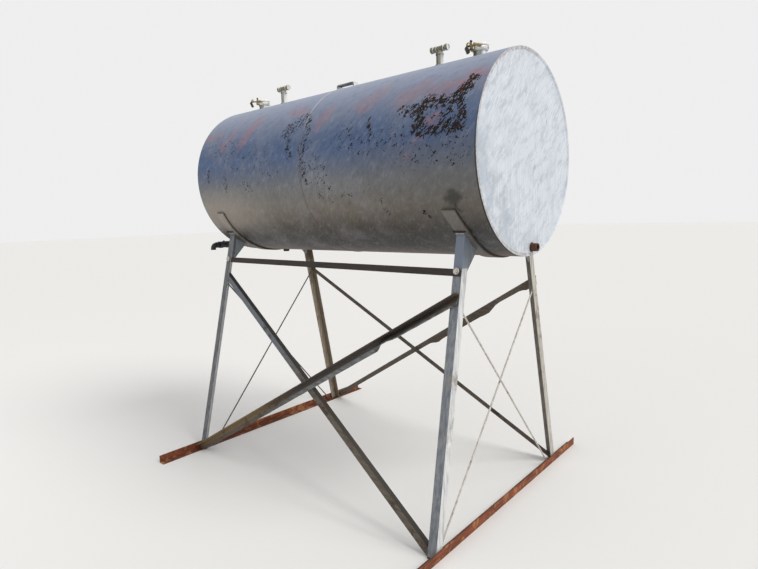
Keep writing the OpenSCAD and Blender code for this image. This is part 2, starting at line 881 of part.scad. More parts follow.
shell_near();
shell_far();
girth_weld();
head_near();
head_far();
rim_weld_near();
rim_weld_far();
saddle_near();
saddle_far();
leg_near_left();
leg_near_right();
leg_far_left();
leg_far_right();
gusset_near_left();
gusset_near_right();
gusset_far_left();
gusset_far_right();
skid_near();
skid_far();
side_rail();
brace_left_outer();
brace_left_inner();
brace_right_outer();
brace_right_inner();
rod_near_first();
rod_near_second();
rod_far_first();
rod_far_second();
fill_neck_near();
fill_body_near();
fill_lid_near();
fill_neck_far();
fill_body_far();
fill_lid_far();
vent_riser_near();
vent_tee_near();
vent_riser_far();
vent_tee_far();
lifting_lug();
outlet_elbow();
outlet_pipe();
outlet_valve();
outlet_spout();
drain_coupling();
belly_plug();
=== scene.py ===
"""Looks of an old fuel storage tank on a splayed angle-iron stand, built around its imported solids."""

import logging
import math
from collections.abc import Callable, Sequence
from dataclasses import dataclass
from enum import Enum
from typing import ClassVar

import bmesh
import bpy
from mathutils import Matrix, Vector


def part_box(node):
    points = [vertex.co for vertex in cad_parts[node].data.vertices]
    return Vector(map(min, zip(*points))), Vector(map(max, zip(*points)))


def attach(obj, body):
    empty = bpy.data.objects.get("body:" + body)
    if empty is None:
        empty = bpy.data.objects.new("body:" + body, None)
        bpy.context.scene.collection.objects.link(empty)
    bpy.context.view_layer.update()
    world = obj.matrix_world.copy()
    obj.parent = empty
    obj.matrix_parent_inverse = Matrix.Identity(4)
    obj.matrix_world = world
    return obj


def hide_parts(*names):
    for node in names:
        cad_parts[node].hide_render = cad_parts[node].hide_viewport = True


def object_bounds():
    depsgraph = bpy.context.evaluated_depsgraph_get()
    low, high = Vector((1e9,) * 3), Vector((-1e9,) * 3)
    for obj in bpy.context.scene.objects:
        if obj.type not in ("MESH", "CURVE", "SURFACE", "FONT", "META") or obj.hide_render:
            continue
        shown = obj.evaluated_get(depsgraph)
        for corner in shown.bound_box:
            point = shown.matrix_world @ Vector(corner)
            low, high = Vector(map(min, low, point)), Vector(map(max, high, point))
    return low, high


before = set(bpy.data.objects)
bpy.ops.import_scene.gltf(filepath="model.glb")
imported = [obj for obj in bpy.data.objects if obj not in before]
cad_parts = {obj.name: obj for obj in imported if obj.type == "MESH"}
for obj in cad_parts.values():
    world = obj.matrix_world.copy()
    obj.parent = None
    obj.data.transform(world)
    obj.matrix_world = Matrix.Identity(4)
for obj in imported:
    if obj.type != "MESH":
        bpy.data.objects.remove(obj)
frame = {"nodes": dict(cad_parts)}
cad_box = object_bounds()

LOG = logging.getLogger("tank")
BODY = "root"
LEFT, RIGHT = SIDES = (-1, 1)
LEAN = math.radians(12.1)
FAR_FOOT = (-1.0652, 0.026)
NEAR_TOP = (1.0464, 1.292)
MERGED = 0.00002
Socket = bpy.types.NodeSocket
Material = bpy.types.Material
Piece = bpy.types.Object
Pieces = dict[str, Piece]
Finishes = dict[str, Material]
Pair = tuple[float, float]
Spot = tuple[float, float, float]
Colour = tuple[float, float, float, float]
Stops = tuple[tuple[float, str], ...]


def shade(code: str) -> Colour:
    """Turns a screen colour into the linear colour that a shader takes.

    Args:
        code: The colour as six hexadecimal digits.

    Returns:
        Red, green, blue and alpha in linear light.
    """
    parts = [int(code[i : i + 2], 16) / 255 for i in (0, 2, 4)]
    linear = [c / 12.92 if c <= 0.04045 else ((c + 0.055) / 1.055) ** 2.4 for c in parts]
    return (linear[0], linear[1], linear[2], 1.0)


class Axis(Enum):
    """Direction along which a finish is brushed, drawn or rolled."""

    X = 0
    Y = 1
    Z = 2


class Graph:
    """One material's nodes, from the piece's own coordinates to its shader."""

    def __init__(self, name: str) -> None:
        """Starts a material with a plain shader.

        Args:
            name: The material's name.
        """
        self.material = bpy.data.materials.new(name)
        self.material.use_nodes = True
        self.tree = self.material.node_tree
        self.tree.nodes.clear()
        output = self.tree.nodes.new("ShaderNodeOutputMaterial")
        self.shader = self.tree.nodes.new("ShaderNodeBsdfPrincipled")
        self.tree.links.new(self.shader.outputs["BSDF"], output.inputs["Surface"])
        self.place = self.tree.nodes.new("ShaderNodeTexCoord").outputs["Object"]
        self.tone: Socket | Colour = shade("FFFFFF")

    def put(self, socket: Socket, value: Socket | float | Colour | Vector) -> None:
        """Gives an input a constant, or wires another node's output to it.

        Args:
            socket: The input.
            value: A number, a colour, a vector or an output.
        """
        if isinstance(value, bpy.types.NodeSocket):
            self.tree.links.new(value, socket)
        else:
            socket.default_value = value

    def sum(self, kind: str, *values: Socket | float, clamp: bool = False) -> Socket:
        """Works out a number with a Math node.

        Args:
            kind: The operation's name in Blender.
            *values: Its inputs, in order.
            clamp: Whether the result is kept between 0 and 1.

        Returns:
            The result's output.
        """
        node = self.tree.nodes.new("ShaderNodeMath")
        node.operation = kind
        node.use_clamp = clamp
        for socket, value in zip(node.inputs, values):
            self.put(socket, value)
        return node.outputs[0]

    def plus(self, first: Socket | float, second: Socket | float) -> Socket:
        """Adds two numbers."""
        return self.sum("ADD", first, second)

    def minus(self, first: Socket | float, second: Socket | float) -> Socket:
        """Takes the second number from the first."""
        return self.sum("SUBTRACT", first, second)

    def times(self, first: Socket | float, second: Socket | float) -> Socket:
        """Multiplies two numbers."""
        return self.sum("MULTIPLY", first, second)

    def mean(self, first: Socket, second: Socket) -> Socket:
        """Gives the middle of two numbers."""
        return self.times(self.plus(first, second), 0.5)

    def vector(
        self, kind: str, *values: Socket | Vector, scale: Socket | float | None = None
    ) -> bpy.types.Node:
        """Works out a vector or a length with a Vector Math node.

        Args:
            kind: The operation's name in Blender.
            *values: Its vector inputs, in order.
            scale: The factor of a SCALE operation.

        Returns:
            The node, whose output Vector or Value holds the result.
        """
        node = self.tree.nodes.new("ShaderNodeVectorMath")
        node.operation = kind
        for socket, value in zip(node.inputs, values):
            self.put(socket, value)
        if scale is not None:
            self.put(node.inputs["Scale"], scale)
        return node

    def split(self, vector: Socket) -> tuple[Socket, Socket, Socket]:
        """Takes a vector apart.

        Args:
            vector: The vector.

        Returns:
            Its three numbers.
        """
        node = self.tree.nodes.new("ShaderNodeSeparateXYZ")
        self.put(node.inputs[0], vector)
        return node.outputs[0], node.outputs[1], node.outputs[2]

    def facing(self) -> tuple[Socket, Socket, Socket]:
        """Gives the direction that the surface looks in."""
        return self.split(self.tree.nodes.new("ShaderNodeNewGeometry").outputs["Normal"])

    def join(self, x: Socket | float, y: Socket | float, z: Socket | float) -> Socket:
        """Makes a vector of three numbers.

        Args:
            x: The first number.
            y: The second.
            z: The third.

        Returns:
            The vector.
        """
        node = self.tree.nodes.new("ShaderNodeCombineXYZ")
        for socket, value in zip(node.inputs, (x, y, z)):
            self.put(socket, value)
        return node.outputs[0]

    def stretch(self, vector: Socket, scale: Spot, turn: float = 0.0) -> Socket:
        """Turns a vector about Z and then scales it, so that a pattern is drawn out in one direction.

        Args:
            vector: The coordinates.
            scale: The factor along each axis.
            turn: The turn about Z in degrees.

        Returns:
            The new coordinates.
        """
        turned = self.tree.nodes.new("ShaderNodeMapping")
        turned.inputs["Rotation"].default_value = (0.0, 0.0, math.radians(turn))
        self.put(turned.inputs["Vector"], vector)
        scaled = self.tree.nodes.new("ShaderNodeMapping")
        scaled.inputs["Scale"].default_value = scale
        self.put(scaled.inputs["Vector"], turned.outputs[0])
        return scaled.outputs[0]

    def noise(
        self, vector: Socket, scale: float, detail: float = 4.0, rough: float = 0.55, coloured: bool = False
    ) -> Socket:
        """Adds a Noise Texture.

        Args:
            vector: Its coordinates.
            scale: Waves to a metre.
            detail: Octaves.
            rough: How strong the small octaves are.
            coloured: Whether it gives three patterns, as a colour.

        Returns:
            The pattern, from 0 to 1.
        """
        node = self.tree.nodes.new("ShaderNodeTexNoise")
        node.inputs["Scale"].default_value = scale
        node.inputs["Detail"].default_value = detail
        node.inputs["Roughness"].default_value = rough
        self.put(node.inputs["Vector"], vector)
        return node.outputs["Color" if coloured else "Fac"]

    def ease(self, value: Socket, low: Socket | float, high: Socket | float, top: float = 1.0) -> Socket:
        """Rises smoothly from 0 at low to top at high.

        Args:
            value: The input.
            low: Where the rise starts.
            high: Where it ends.
            top: The value beyond it.

        Returns:
            The eased value.
        """
        node = self.tree.nodes.new("ShaderNodeMapRange")
        node.interpolation_type = "SMOOTHSTEP"
        self.put(node.inputs["Value"], value)
        self.put(node.inputs["From Min"], low)
        self.put(node.inputs["From Max"], high)
        node.inputs["To Max"].default_value = top
        return node.outputs["Result"]

    def blend(self, share: Socket | float, first: Socket | Colour, second: Socket | Colour) -> Socket:
        """Mixes two colours.

        Args:
            share: How much of the second shows.
            first: The colour below.
            second: The colour above.

        Returns:
            The mixed colour.
        """
        node = self.tree.nodes.new("ShaderNodeMix")
        node.data_type = "RGBA"
        self.put(node.inputs[0], share)
        self.put(node.inputs[6], first)
        self.put(node.inputs[7], second)
        return node.outputs[2]

    def over(self, share: Socket | float, colour: Socket | str) -> None:
        """Lays a colour over the finish so far.

        Args:
            share: How much of it shows.
            colour: A screen colour, or a colour's output.
        """
        self.tone = self.blend(share, self.tone, shade(colour) if isinstance(colour, str) else colour)

    def tones(self, value: Socket, stops: Stops) -> Socket:
        """Runs a value through a row of colours.

        Args:
            value: A number from 0 to 1.
            stops: Places and screen colours, in order.

        Returns:
            The colour.
        """
        node = self.tree.nodes.new("ShaderNodeValToRGB")
        elements = node.color_ramp.elements
        while len(elements) < len(stops):
            elements.new(0.5)
        for element, (place, code) in zip(elements, stops):
            element.position = place
            element.color = shade(code)
        self.put(node.inputs[0], value)
        return node.outputs["Color"]

    def relief(self, height: Socket, depth: float, strength: float, below: Socket | None = None) -> Socket:
        """Adds a Bump node.

        Args:
            height: A value from 0 to 1.
            depth: The height in metres that 1 stands for.
            strength: How much of it shows.
            below: A bump to build on.

        Returns:
            The bent normal.
        """
        node = self.tree.nodes.new("ShaderNodeBump")
        node.inputs["Distance"].default_value = depth
        node.inputs["Strength"].default_value = strength
        self.put(node.inputs["Height"], height)
        if below is not None:
            self.put(node.inputs["Normal"], below)
        return node.outputs[0]

    def finish(
        self, rough: Socket | float, metal: float, normal: Socket | None, sheen: float = 0.5
    ) -> None:
        """Wires the shader, with the finish so far as its colour.

        Args:
            rough: Roughness.
            metal: Metallic share, the same all over.
            normal: The bent normal, if any.
            sheen: Strength of the specular reflection.
        """
        self.put(self.shader.inputs["Base Color"], self.tone)
        self.put(self.shader.inputs["Roughness"], rough)
        self.shader.inputs["Metallic"].default_value = metal
        self.shader.inputs["Specular IOR Level"].default_value = sheen
        if normal is not None:
            self.put(self.shader.inputs["Normal"], normal)


@dataclass(frozen=True)
class Stroke:
    """A worn stretch of the shell, given along the tank and round it from the crown."""

    start: Pair
    end: Pair
    width: float
    weight: float = 1.0

    def mask(self, graph: Graph, flat: Socket) -> Socket:
        """Draws the stretch as a soft-edged band.

        Args:
            graph: The material's nodes.
            flat: Coordinates on the unrolled shell.

        Returns:
            The weight inside the band, falling to 0 outside.
        """
        run = Vector((self.end[0] - self.start[0], self.end[1] - self.start[1], 0.0))
        offset = graph.vector("SUBTRACT", flat, Vector((*self.start, 0.0))).outputs[0]
        share = graph.vector("DOT_PRODUCT", offset, run / max(run.length_squared, 1e-9)).outputs["Value"]
        share = graph.sum("MAXIMUM", graph.sum("MINIMUM", share, 1.0), 0.0)
        along = graph.vector("SCALE", run, scale=share).outputs[0]
        away = graph.vector("DISTANCE", offset, along).outputs["Value"]
        solid_width = self.width * 0.25
        return graph.minus(self.weight, graph.ease(away, solid_width, self.width, self.weight))


@dataclass(frozen=True)
class Speckle:
    """How thickly a finish is chipped or spotted."""

    scale: float
    threshold: float
    edge: float = 0.025


@dataclass(frozen=True)
class Grain:
    """A pattern of noise: waves to a metre, octaves, roughness, and how it is drawn out and turned."""

    scale: float
    detail: float = 4.0
    rough: float = 0.7
    drawn: Spot | None = None
    turn: float = 0.0

    def draw(self, graph: Graph, place: Socket) -> Socket:
        """Draws the pattern.

        Args:
            graph: The material's nodes.
            place: Its coordinates.

        Returns:
            A value from 0 to 1.
        """
        if self.drawn:
            place = graph.stretch(place, self.drawn, self.turn)
        return graph.noise(place, self.scale, self.detail, self.rough)


@dataclass(frozen=True)
class Wash:
    """A tone that comes in over a finish as a value passes from one level to another.

    Each pair of limits does the same for one further value.
    """

    start: float
    full: float
    share: float
    tone: str
    limits: tuple[Pair, ...] = ()

    def lay(self, graph: Graph, value: Socket, *others: Socket) -> None:
        """Lays the tone over the finish so far.

        Args:
            graph: The material's nodes.
            value: The value that it follows.
            *others: A value for each pair of limits.
        """
        amount = graph.ease(value, self.start, self.full, self.share)
        for other, limit in zip(others, self.limits, strict=True):
            amount = graph.times(amount, graph.ease(other, *limit))
        graph.over(amount, self.tone)


@dataclass(frozen=True)
class ShellPaint:
    """Old aluminium paint, brushed over red primer, flaked down to rusty plate.

    Heights are over the tank's axis, as a share of its radius. Its colours by height are painted
    shade and painted reflections of the sky and the ground.
    """

    name: str
    radius: float
    axis_height: float
    middle: float
    lift: float = 0.0
    seam: float = -0.0400
    # Colours by height: the dark belly is painted shade, the brown lower flank a painted ground reflection,
    # the blue band a painted sky reflection.
    painted_shade_and_reflection_by_height: Stops = (
        (0.02, "2C2824"), (0.09, "332F2C"), (0.16, "464139"), (0.22, "625A50"), (0.28, "6F685E"),
        (0.40, "6C6D6F"), (0.50, "576278"), (0.58, "42587E"), (0.64, "42577A"), (0.70, "576785"),
        (0.78, "6E7992"), (0.88, "848EA6"), (0.95, "9099AD"), (1.0, "8E96AA"),
    )
    clouds: Grain = Grain(3.5, 5.0, 0.6)
    cloudy: Wash = Wash(0.45, 0.75, 0.35, "8A8B90")
    mottle: Grain = Grain(24.0, 6.0, 0.72, (0.7, 1.0, 1.0), 40.0)
    pale_mottle: Wash = Wash(0.50, 0.68, 0.20, "A2A4AA")
    dark_mottle: Wash = Wash(0.48, 0.32, 0.30, "3A3D45")
    brushed: Grain = Grain(110.0, 5.0, 0.75, (1.0, 0.12, 1.0), -14.0)
    swept: Grain = Grain(75.0, 5.0, 0.75, (0.16, 1.0, 1.0), 50.0)
    pale_brush: Wash = Wash(0.50, 0.66, 0.24, "A4A6AC")
    dark_brush: Wash = Wash(0.50, 0.34, 0.24, "3C3E44")
    dark_end: Wash = Wash(0.0, 1.1, 0.30, "3A3B3E", ((0.35, 0.0),))
    far_side: Wash = Wash(0.05, 0.40, 0.42, "80817F")
    primer_streaks: Grain = Grain(60.0, 5.0, 0.75, (0.4, 1.0, 1.0), 46.0)
    primer_levels: Spot = (0.40, 0.64, 0.76)
    primer: str = "A8655E"
    # Colour of the smears, and of the painted shadow by the near strap.
    smear_and_shadow: str = "24231F"
    drift: Grain = Grain(2.3, 4.0, 0.6)
    drift_levels: Spot = (0.58, 0.80, 0.40)
    chip_sizes: tuple[Grain, Grain] = (Grain(52.0, 2.0, 0.5), Grain(135.0, 2.0, 0.5))
    chip_drawn: Spot = (0.6, 1.0, 1.0)
    chip_turn: float = 46.0
    chip_level: float = 0.68
    chip_reach: float = 0.21
    chip_edge: float = 0.012
    rust: Grain = Grain(48.0)
    plate: Stops = ((0.36, "0E0B0A"), (0.54, "1A1310"), (0.62, "3A2519"), (0.72, "6A4529"))
    seam_dirt: Wash = Wash(0.012, 0.005, 0.45, "2A2826", ((0.8, 0.2),))
    # Dark line at the near end's rim, lower half: painted shadow of the gap between shell and head.
    end_shadow_line: Wash = Wash(1.1585, 1.1635, 0.8, "26221F", ((0.55, -0.10),))
    lift_tone: str = "D9D3C8"
    lift_base: float = 0.10
    lift_levels: Pair = (0.35, 0.80)
    far_low: Wash = Wash(-0.25, -0.95, 0.40, "B0A79D", ((0.0, -0.45), (-0.82, -0.58)))
    belly: Wash = Wash(-0.93, -0.99, 0.6, "3E342C")
    belly_rust: Wash = Wash(-0.90, -0.995, 0.85, "5B3A26", ((0.30, 0.62),))
    belly_spots: Grain = Grain(22.0, 4.0, 0.55)
    dents: Grain = Grain(4.5, 2.0, 0.55)
    brush_depth: float = 0.0006
    dent_depth: float = 0.012
    flake_depth: float = 0.0007

    def unroll(self, graph: Graph) -> tuple[Socket, Socket]:
        """Lays the shell flat.

        Args:
            graph: The material's nodes.

        Returns:
            The flat coordinates, along the tank and round it from the crown, positive on the left,
            and the height.
        """
        x, y, z = graph.split(graph.place)
        height = graph.minus(z, self.axis_height)
        turn = graph.sum("ARCTAN2", graph.times(y, -1.0), height)
        flat = graph.join(graph.minus(x, self.middle), graph.times(turn, self.radius), 0.0)
        return flat, graph.sum("DIVIDE", height, self.radius)

    def wander(self, graph: Graph, flat: Socket, scale: float = 9.0, reach: float = 0.05) -> Socket:
        """Shakes flat coordinates, so that what is drawn on them has a ragged edge.

        Args:
            graph: The material's nodes.
            flat: Coordinates on the unrolled shell.
            scale: Waves to a metre.
            reach: The largest shift in metres, about.

        Returns:
            The shaken coordinates.
        """
        colours = graph.noise(flat, scale, 3.0, coloured=True)
        shift = graph.vector("SUBTRACT", colours, Vector((0.5, 0.5, 0.5)))
        moved = graph.vector("SCALE", shift.outputs[0], scale=2 * reach)
        return graph.vector("ADD", flat, moved.outputs[0]).outputs[0]

    def most(self, graph: Graph, strokes: tuple[Stroke, ...], flat: Socket) -> Socket:
        """Joins several strokes into one mask.

        Args:
            graph: The material's nodes.
            strokes: The stretches.
            flat: Coordinates on the unrolled shell.

        Returns:
            The largest of their weights.
        """
        total, *others = [stroke.mask(graph, flat) for stroke in strokes]
        for mask in others:
            total = graph.sum("MAXIMUM", total, mask)
        return total

    def chips(self, graph: Graph, flat: Socket, density: Socket) -> Socket:
        """Draws small slanting flakes where the paint is off.

        Args:
            graph: The material's nodes.
            flat: Coordinates on the unrolled shell.
            density: How thickly they lie, from 0 to 1.

        Returns:
            1 on bare plate and 0 on paint.
        """
        slanted = graph.stretch(flat, self.chip_drawn, self.chip_turn)
        grain = graph.mean(*(size.draw(graph, slanted) for size in self.chip_sizes))
        edge = graph.minus(self.chip_level, graph.times(density, self.chip_reach))
        return graph.ease(grain, edge, graph.plus(edge, self.chip_edge))

    def wear(self, graph: Graph, flat: Socket) -> Socket:
        """Shows the primer, the smears and painted strap shadow, and the bare plate where the strokes are.

        Args:
            graph: The material's nodes.
            flat: Coordinates on the unrolled shell.

        Returns:
            1 on bare plate and 0 on paint.
        """
        ragged = self.wander(graph, flat)
        streaks = graph.ease(self.primer_streaks.draw(graph, flat), *self.primer_levels)
        graph.over(graph.times(self.most(graph, PRIMER_SHOWING, ragged), streaks), self.primer)
        # Smears, and painted shadow beside the near strap.
        graph.over(self.most(graph, SMEARS_AND_STRAP_SHADOW, ragged), self.smear_and_shadow)
        scattered = graph.ease(self.drift.draw(graph, graph.place), *self.drift_levels)
        worn = graph.sum("MAXIMUM", self.most(graph, FLAKED, ragged), scattered)
        bare = self.chips(graph, flat, worn)
        graph.over(bare, graph.tones(self.rust.draw(graph, flat), self.plate))
        return bare

    def build(self) -> Material:
        """Makes the material.

        Returns:
            The material.
        """
        graph = Graph(self.name)
        flat, height = self.unroll(graph)
        along, across = graph.split(flat)[0], graph.split(graph.place)[1]
        # Starts from the painted shade and reflections by height.
        graph.tone = graph.tones(graph.sum("MULTIPLY_ADD", height, 0.5, 0.5), self.painted_shade_and_reflection_by_height)
        self.cloudy.lay(graph, self.clouds.draw(graph, graph.place))
        mottled = self.mottle.draw(graph, flat)
        brushed = graph.mean(self.brushed.draw(graph, flat), self.swept.draw(graph, flat))
        self.pale_mottle.lay(graph, mottled)
        self.dark_mottle.lay(graph, mottled)
        self.pale_brush.lay(graph, brushed)
        self.dark_brush.lay(graph, brushed)
        self.dark_end.lay(graph, along, height)
        self.far_side.lay(graph, across)

        bare = self.wear(graph, flat)
        beside_seam = graph.sum("ABSOLUTE", graph.minus(along, self.seam))
        self.seam_dirt.lay(graph, beside_seam, height)
        # Painted shadow line at the near end's rim.
        self.end_shadow_line.lay(graph, along, height)
        if self.lift:
            raised = graph.ease(height, *self.lift_levels, self.lift)
            graph.over(graph.sum("ADD", raised, self.lift_base, clamp=True), self.lift_tone)
        self.far_low.lay(graph, along, height, height)
        self.belly.lay(graph, height)
        self.belly_rust.lay(graph, height, self.belly_spots.draw(graph, flat))

        brush_marks = graph.relief(brushed, self.brush_depth, 0.35)
        sheet = graph.relief(self.dents.draw(graph, graph.place), self.dent_depth, 0.35, brush_marks)
        flaked = graph.relief(graph.minus(1.0, bare), self.flake_depth, 0.6, sheet)
        graph.finish(graph.plus(0.5, graph.times(bare, 0.35)), 0.08, flaked, 0.3)
        return graph.material


PRIMER_SHOWING = (
    Stroke((-0.67, 0.62), (-0.58, 0.45), 0.07),
    Stroke((-1.13, 0.53), (-0.99, 0.52), 0.06, 0.8),
    Stroke((-0.88, 0.62), (-0.80, 0.52), 0.07, 0.6),
    Stroke((-0.24, 0.42), (-0.12, 0.46), 0.07, 0.8),
    Stroke((0.08, 0.58), (0.14, 0.50), 0.06, 0.7),
    Stroke((0.42, 0.52), (0.50, 0.42), 0.09, 0.7),
    Stroke((0.70, 0.52), (0.80, 0.46), 0.10, 0.7),
    Stroke((0.88, 0.53), (1.00, 0.50), 0.10, 0.75),
    Stroke((1.02, 0.50), (1.10, 0.45), 0.08, 1.0),
    Stroke((0.90, 0.69), (0.93, 0.66), 0.05, 1.0),
    Stroke((0.76, 0.86), (0.86, 0.76), 0.03, 0.32),
)

FLAKED = (
    Stroke((0.70, 0.607), (0.80, 0.62), 0.055, 0.85),
    Stroke((0.80, 0.61), (0.88, 0.59), 0.07, 1.05),
    Stroke((0.83, 0.60), (0.845, 0.70), 0.06, 1.1),
    Stroke((0.88, 0.593), (1.05, 0.583), 0.055, 1.0),
    Stroke((1.04, 0.58), (1.075, 0.53), 0.07, 1.15),
    Stroke((1.075, 0.53), (1.09, 0.48), 0.055, 1.1),
    Stroke((1.065, 0.60), (1.085, 0.72), 0.055, 1.05),
    Stroke((1.05, 0.60), (0.98, 0.67), 0.06, 0.95),
    Stroke((0.84, 0.72), (0.93, 0.745), 0.06, 0.95),
    Stroke((0.93, 0.745), (1.06, 0.72), 0.07, 1.05),
    Stroke((0.90, 0.66), (1.04, 0.66), 0.08, 0.62),
    Stroke((1.10, 0.76), (1.02, 0.80), 0.06, 0.55),
    Stroke((0.50, 0.61), (0.51, 0.70), 0.03, 0.95),
    Stroke((0.30, 0.65), (0.45, 0.75), 0.10, 0.52),
    Stroke((0.30, 0.74), (0.80, 0.74), 0.12, 0.52),
    Stroke((0.76, 0.84), (1.10, 0.86), 0.12, 0.45),
    Stroke((-0.20, 0.60), (-0.06, 0.52), 0.09, 0.80),
    Stroke((-0.17, 0.62), (-0.14, 0.75), 0.06, 0.80),
    Stroke((-0.02, 0.52), (0.00, 0.90), 0.06, 0.76),
    Stroke((0.03, 0.72), (0.16, 0.98), 0.14, 0.49),
    Stroke((-1.03, 0.78), (-1.02, 0.86), 0.03, 0.80),
    Stroke((-0.82, 0.82), (-0.83, 0.94), 0.04, 0.74),
    Stroke((-0.62, 0.90), (-0.55, 0.94), 0.06, 0.66),
    Stroke((-1.00, 0.60), (-0.30, 0.80), 0.20, 0.40),
    Stroke((0.28, 1.01), (0.37, 1.01), 0.035, 0.60),
    Stroke((0.56, 1.05), (0.58, 1.12), 0.035, 0.70),
    Stroke((0.82, 1.13), (0.84, 1.15), 0.03, 0.95),
)

# Dark smears on the shell; those beside the near strap's free end and along its near edge are painted shadow
# of the strap standing off the shell.
SMEARS_AND_STRAP_SHADOW = (
    Stroke((1.000, 1.080), (1.030, 1.070), 0.048, 0.70),
    Stroke((1.014, 1.040), (1.016, 1.100), 0.034, 0.62),
    Stroke((1.016, 1.100), (1.034, 1.180), 0.014, 0.80),
    Stroke((1.074, 1.345), (1.086, 1.350), 0.016, 0.85),
    Stroke((0.10, 1.60), (1.14, 1.60), 0.10, 0.35),
    Stroke((1.042, 1.14), (1.046, 1.24), 0.010, 0.65),
    Stroke((1.046, 1.26), (1.050, 1.52), 0.014, 0.95),
)


@dataclass(frozen=True)
class HeadPaint:
    """Bright aluminium paint on a flat head, with crossing brush marks."""

    name: str
    tone: str
    axis_height: float
    slanting: Grain = Grain(110.0, 4.0, 0.65, (0.10, 1.0, 1.0), -52.0)
    falling: Grain = Grain(90.0, 4.0, 0.65, (1.0, 0.06, 1.0))
    dull_marks: Wash = Wash(0.48, 0.66, 0.48, "AEB6C1")
    bright_marks: Wash = Wash(0.46, 0.32, 0.6, "EFF2F6")
    swirls: Grain = Grain(20.0, 6.0, 0.75, (0.35, 1.0, 1.0), -38.0)
    swirled: Wash = Wash(0.48, 0.62, 0.60, "AAB3BE")
    clouds: Grain = Grain(5.0, 6.0)
    cloudy: Wash = Wash(0.48, 0.68, 0.5, "B9C1CC")
    # Bluish darker lower left corner of the head: painted shade.
    shaded_low_corner: Wash = Wash(-0.25, -0.55, 0.45, "9CA5AF", ((0.40, 0.55),))
    smudges: Grain = Grain(16.0, 5.0, 0.7, (1.0, 0.35, 1.0), 20.0)
    smudged: Wash = Wash(0.58, 0.70, 0.55, "8C918C")
    rim_chips: Grain = Grain(55.0)
    rim: Wash = Wash(0.511, 0.516, 0.6, "9E8570", ((0.42, 0.56), (0.25, -0.10)))
    low_part: Pair = (0.15, -0.25)
    sheet: Grain = Grain(3.0, 2.0, 0.55)
    mark_depth: float = 0.0005
    sheet_depth: float = 0.010

    def build(self) -> Material:
        """Makes the material.

        Returns:
            The material.
        """
        graph = Graph(self.name)
        _, y, z = graph.split(graph.place)
        height = graph.minus(z, self.axis_height)
        face = graph.join(y, height, 0.0)
        low = graph.ease(height, *self.low_part)
        slanting = graph.times(self.slanting.draw(graph, face), graph.minus(1.0, low))
        marks = graph.plus(slanting, graph.times(self.falling.draw(graph, face), low))
        clouds = self.clouds.draw(graph, face)
        graph.tone = shade(self.tone)
        self.dull_marks.lay(graph, marks)
        self.bright_marks.lay(graph, marks)
        self.swirled.lay(graph, self.swirls.draw(graph, face))
        self.cloudy.lay(graph, clouds)
        self.shaded_low_corner.lay(graph, graph.plus(y, height), clouds)
        self.smudged.lay(graph, self.smudges.draw(graph, face))
        away = graph.vector("LENGTH", face).outputs["Value"]
        self.rim.lay(graph, away, self.rim_chips.draw(graph, face), y)
        brush_marks = graph.relief(marks, self.mark_depth, 0.4)
        sheet = graph.relief(self.sheet.draw(graph, face), self.sheet_depth, 0.3, brush_marks)
        graph.finish(0.42, 0.12, sheet)
        return graph.material


@dataclass(frozen=True)
class PaintedShadow:
    """A painted shadow: a dark band below a sloping upper edge, as a flange or the tank above would cast.

    The edge runs from start to end, each given as the place along the tank and the height.
    """

    start: Pair
    end: Pair
    width: float
    tone: str
    far_tone: str
    fray: float = 0.014
    soft: float = 0.004

    def lay(self, graph: Graph, streaks: Socket) -> None:
        """Lays the painted shadow over the finish so far.

        Args:
            graph: The material's nodes.
            streaks: A pattern that frays the band.
        """
        run, rise = self.end[0] - self.start[0], self.end[1] - self.start[1]
        length = math.hypot(run, rise)
        x, _, z = graph.split(graph.place)
        along = graph.times(graph.minus(x, self.start[0]), rise / length)
        above = graph.times(graph.minus(z, self.start[1]), run / length)
        frayed = graph.plus(graph.minus(along, above), graph.times(graph.minus(streaks, 0.5), self.fray))
        band = graph.blend(graph.ease(x, 0.0, -0.50), shade(self.tone), shade(self.far_tone))
        graph.over(graph.ease(frayed, self.width + self.soft, self.width - self.soft, 0.9), band)


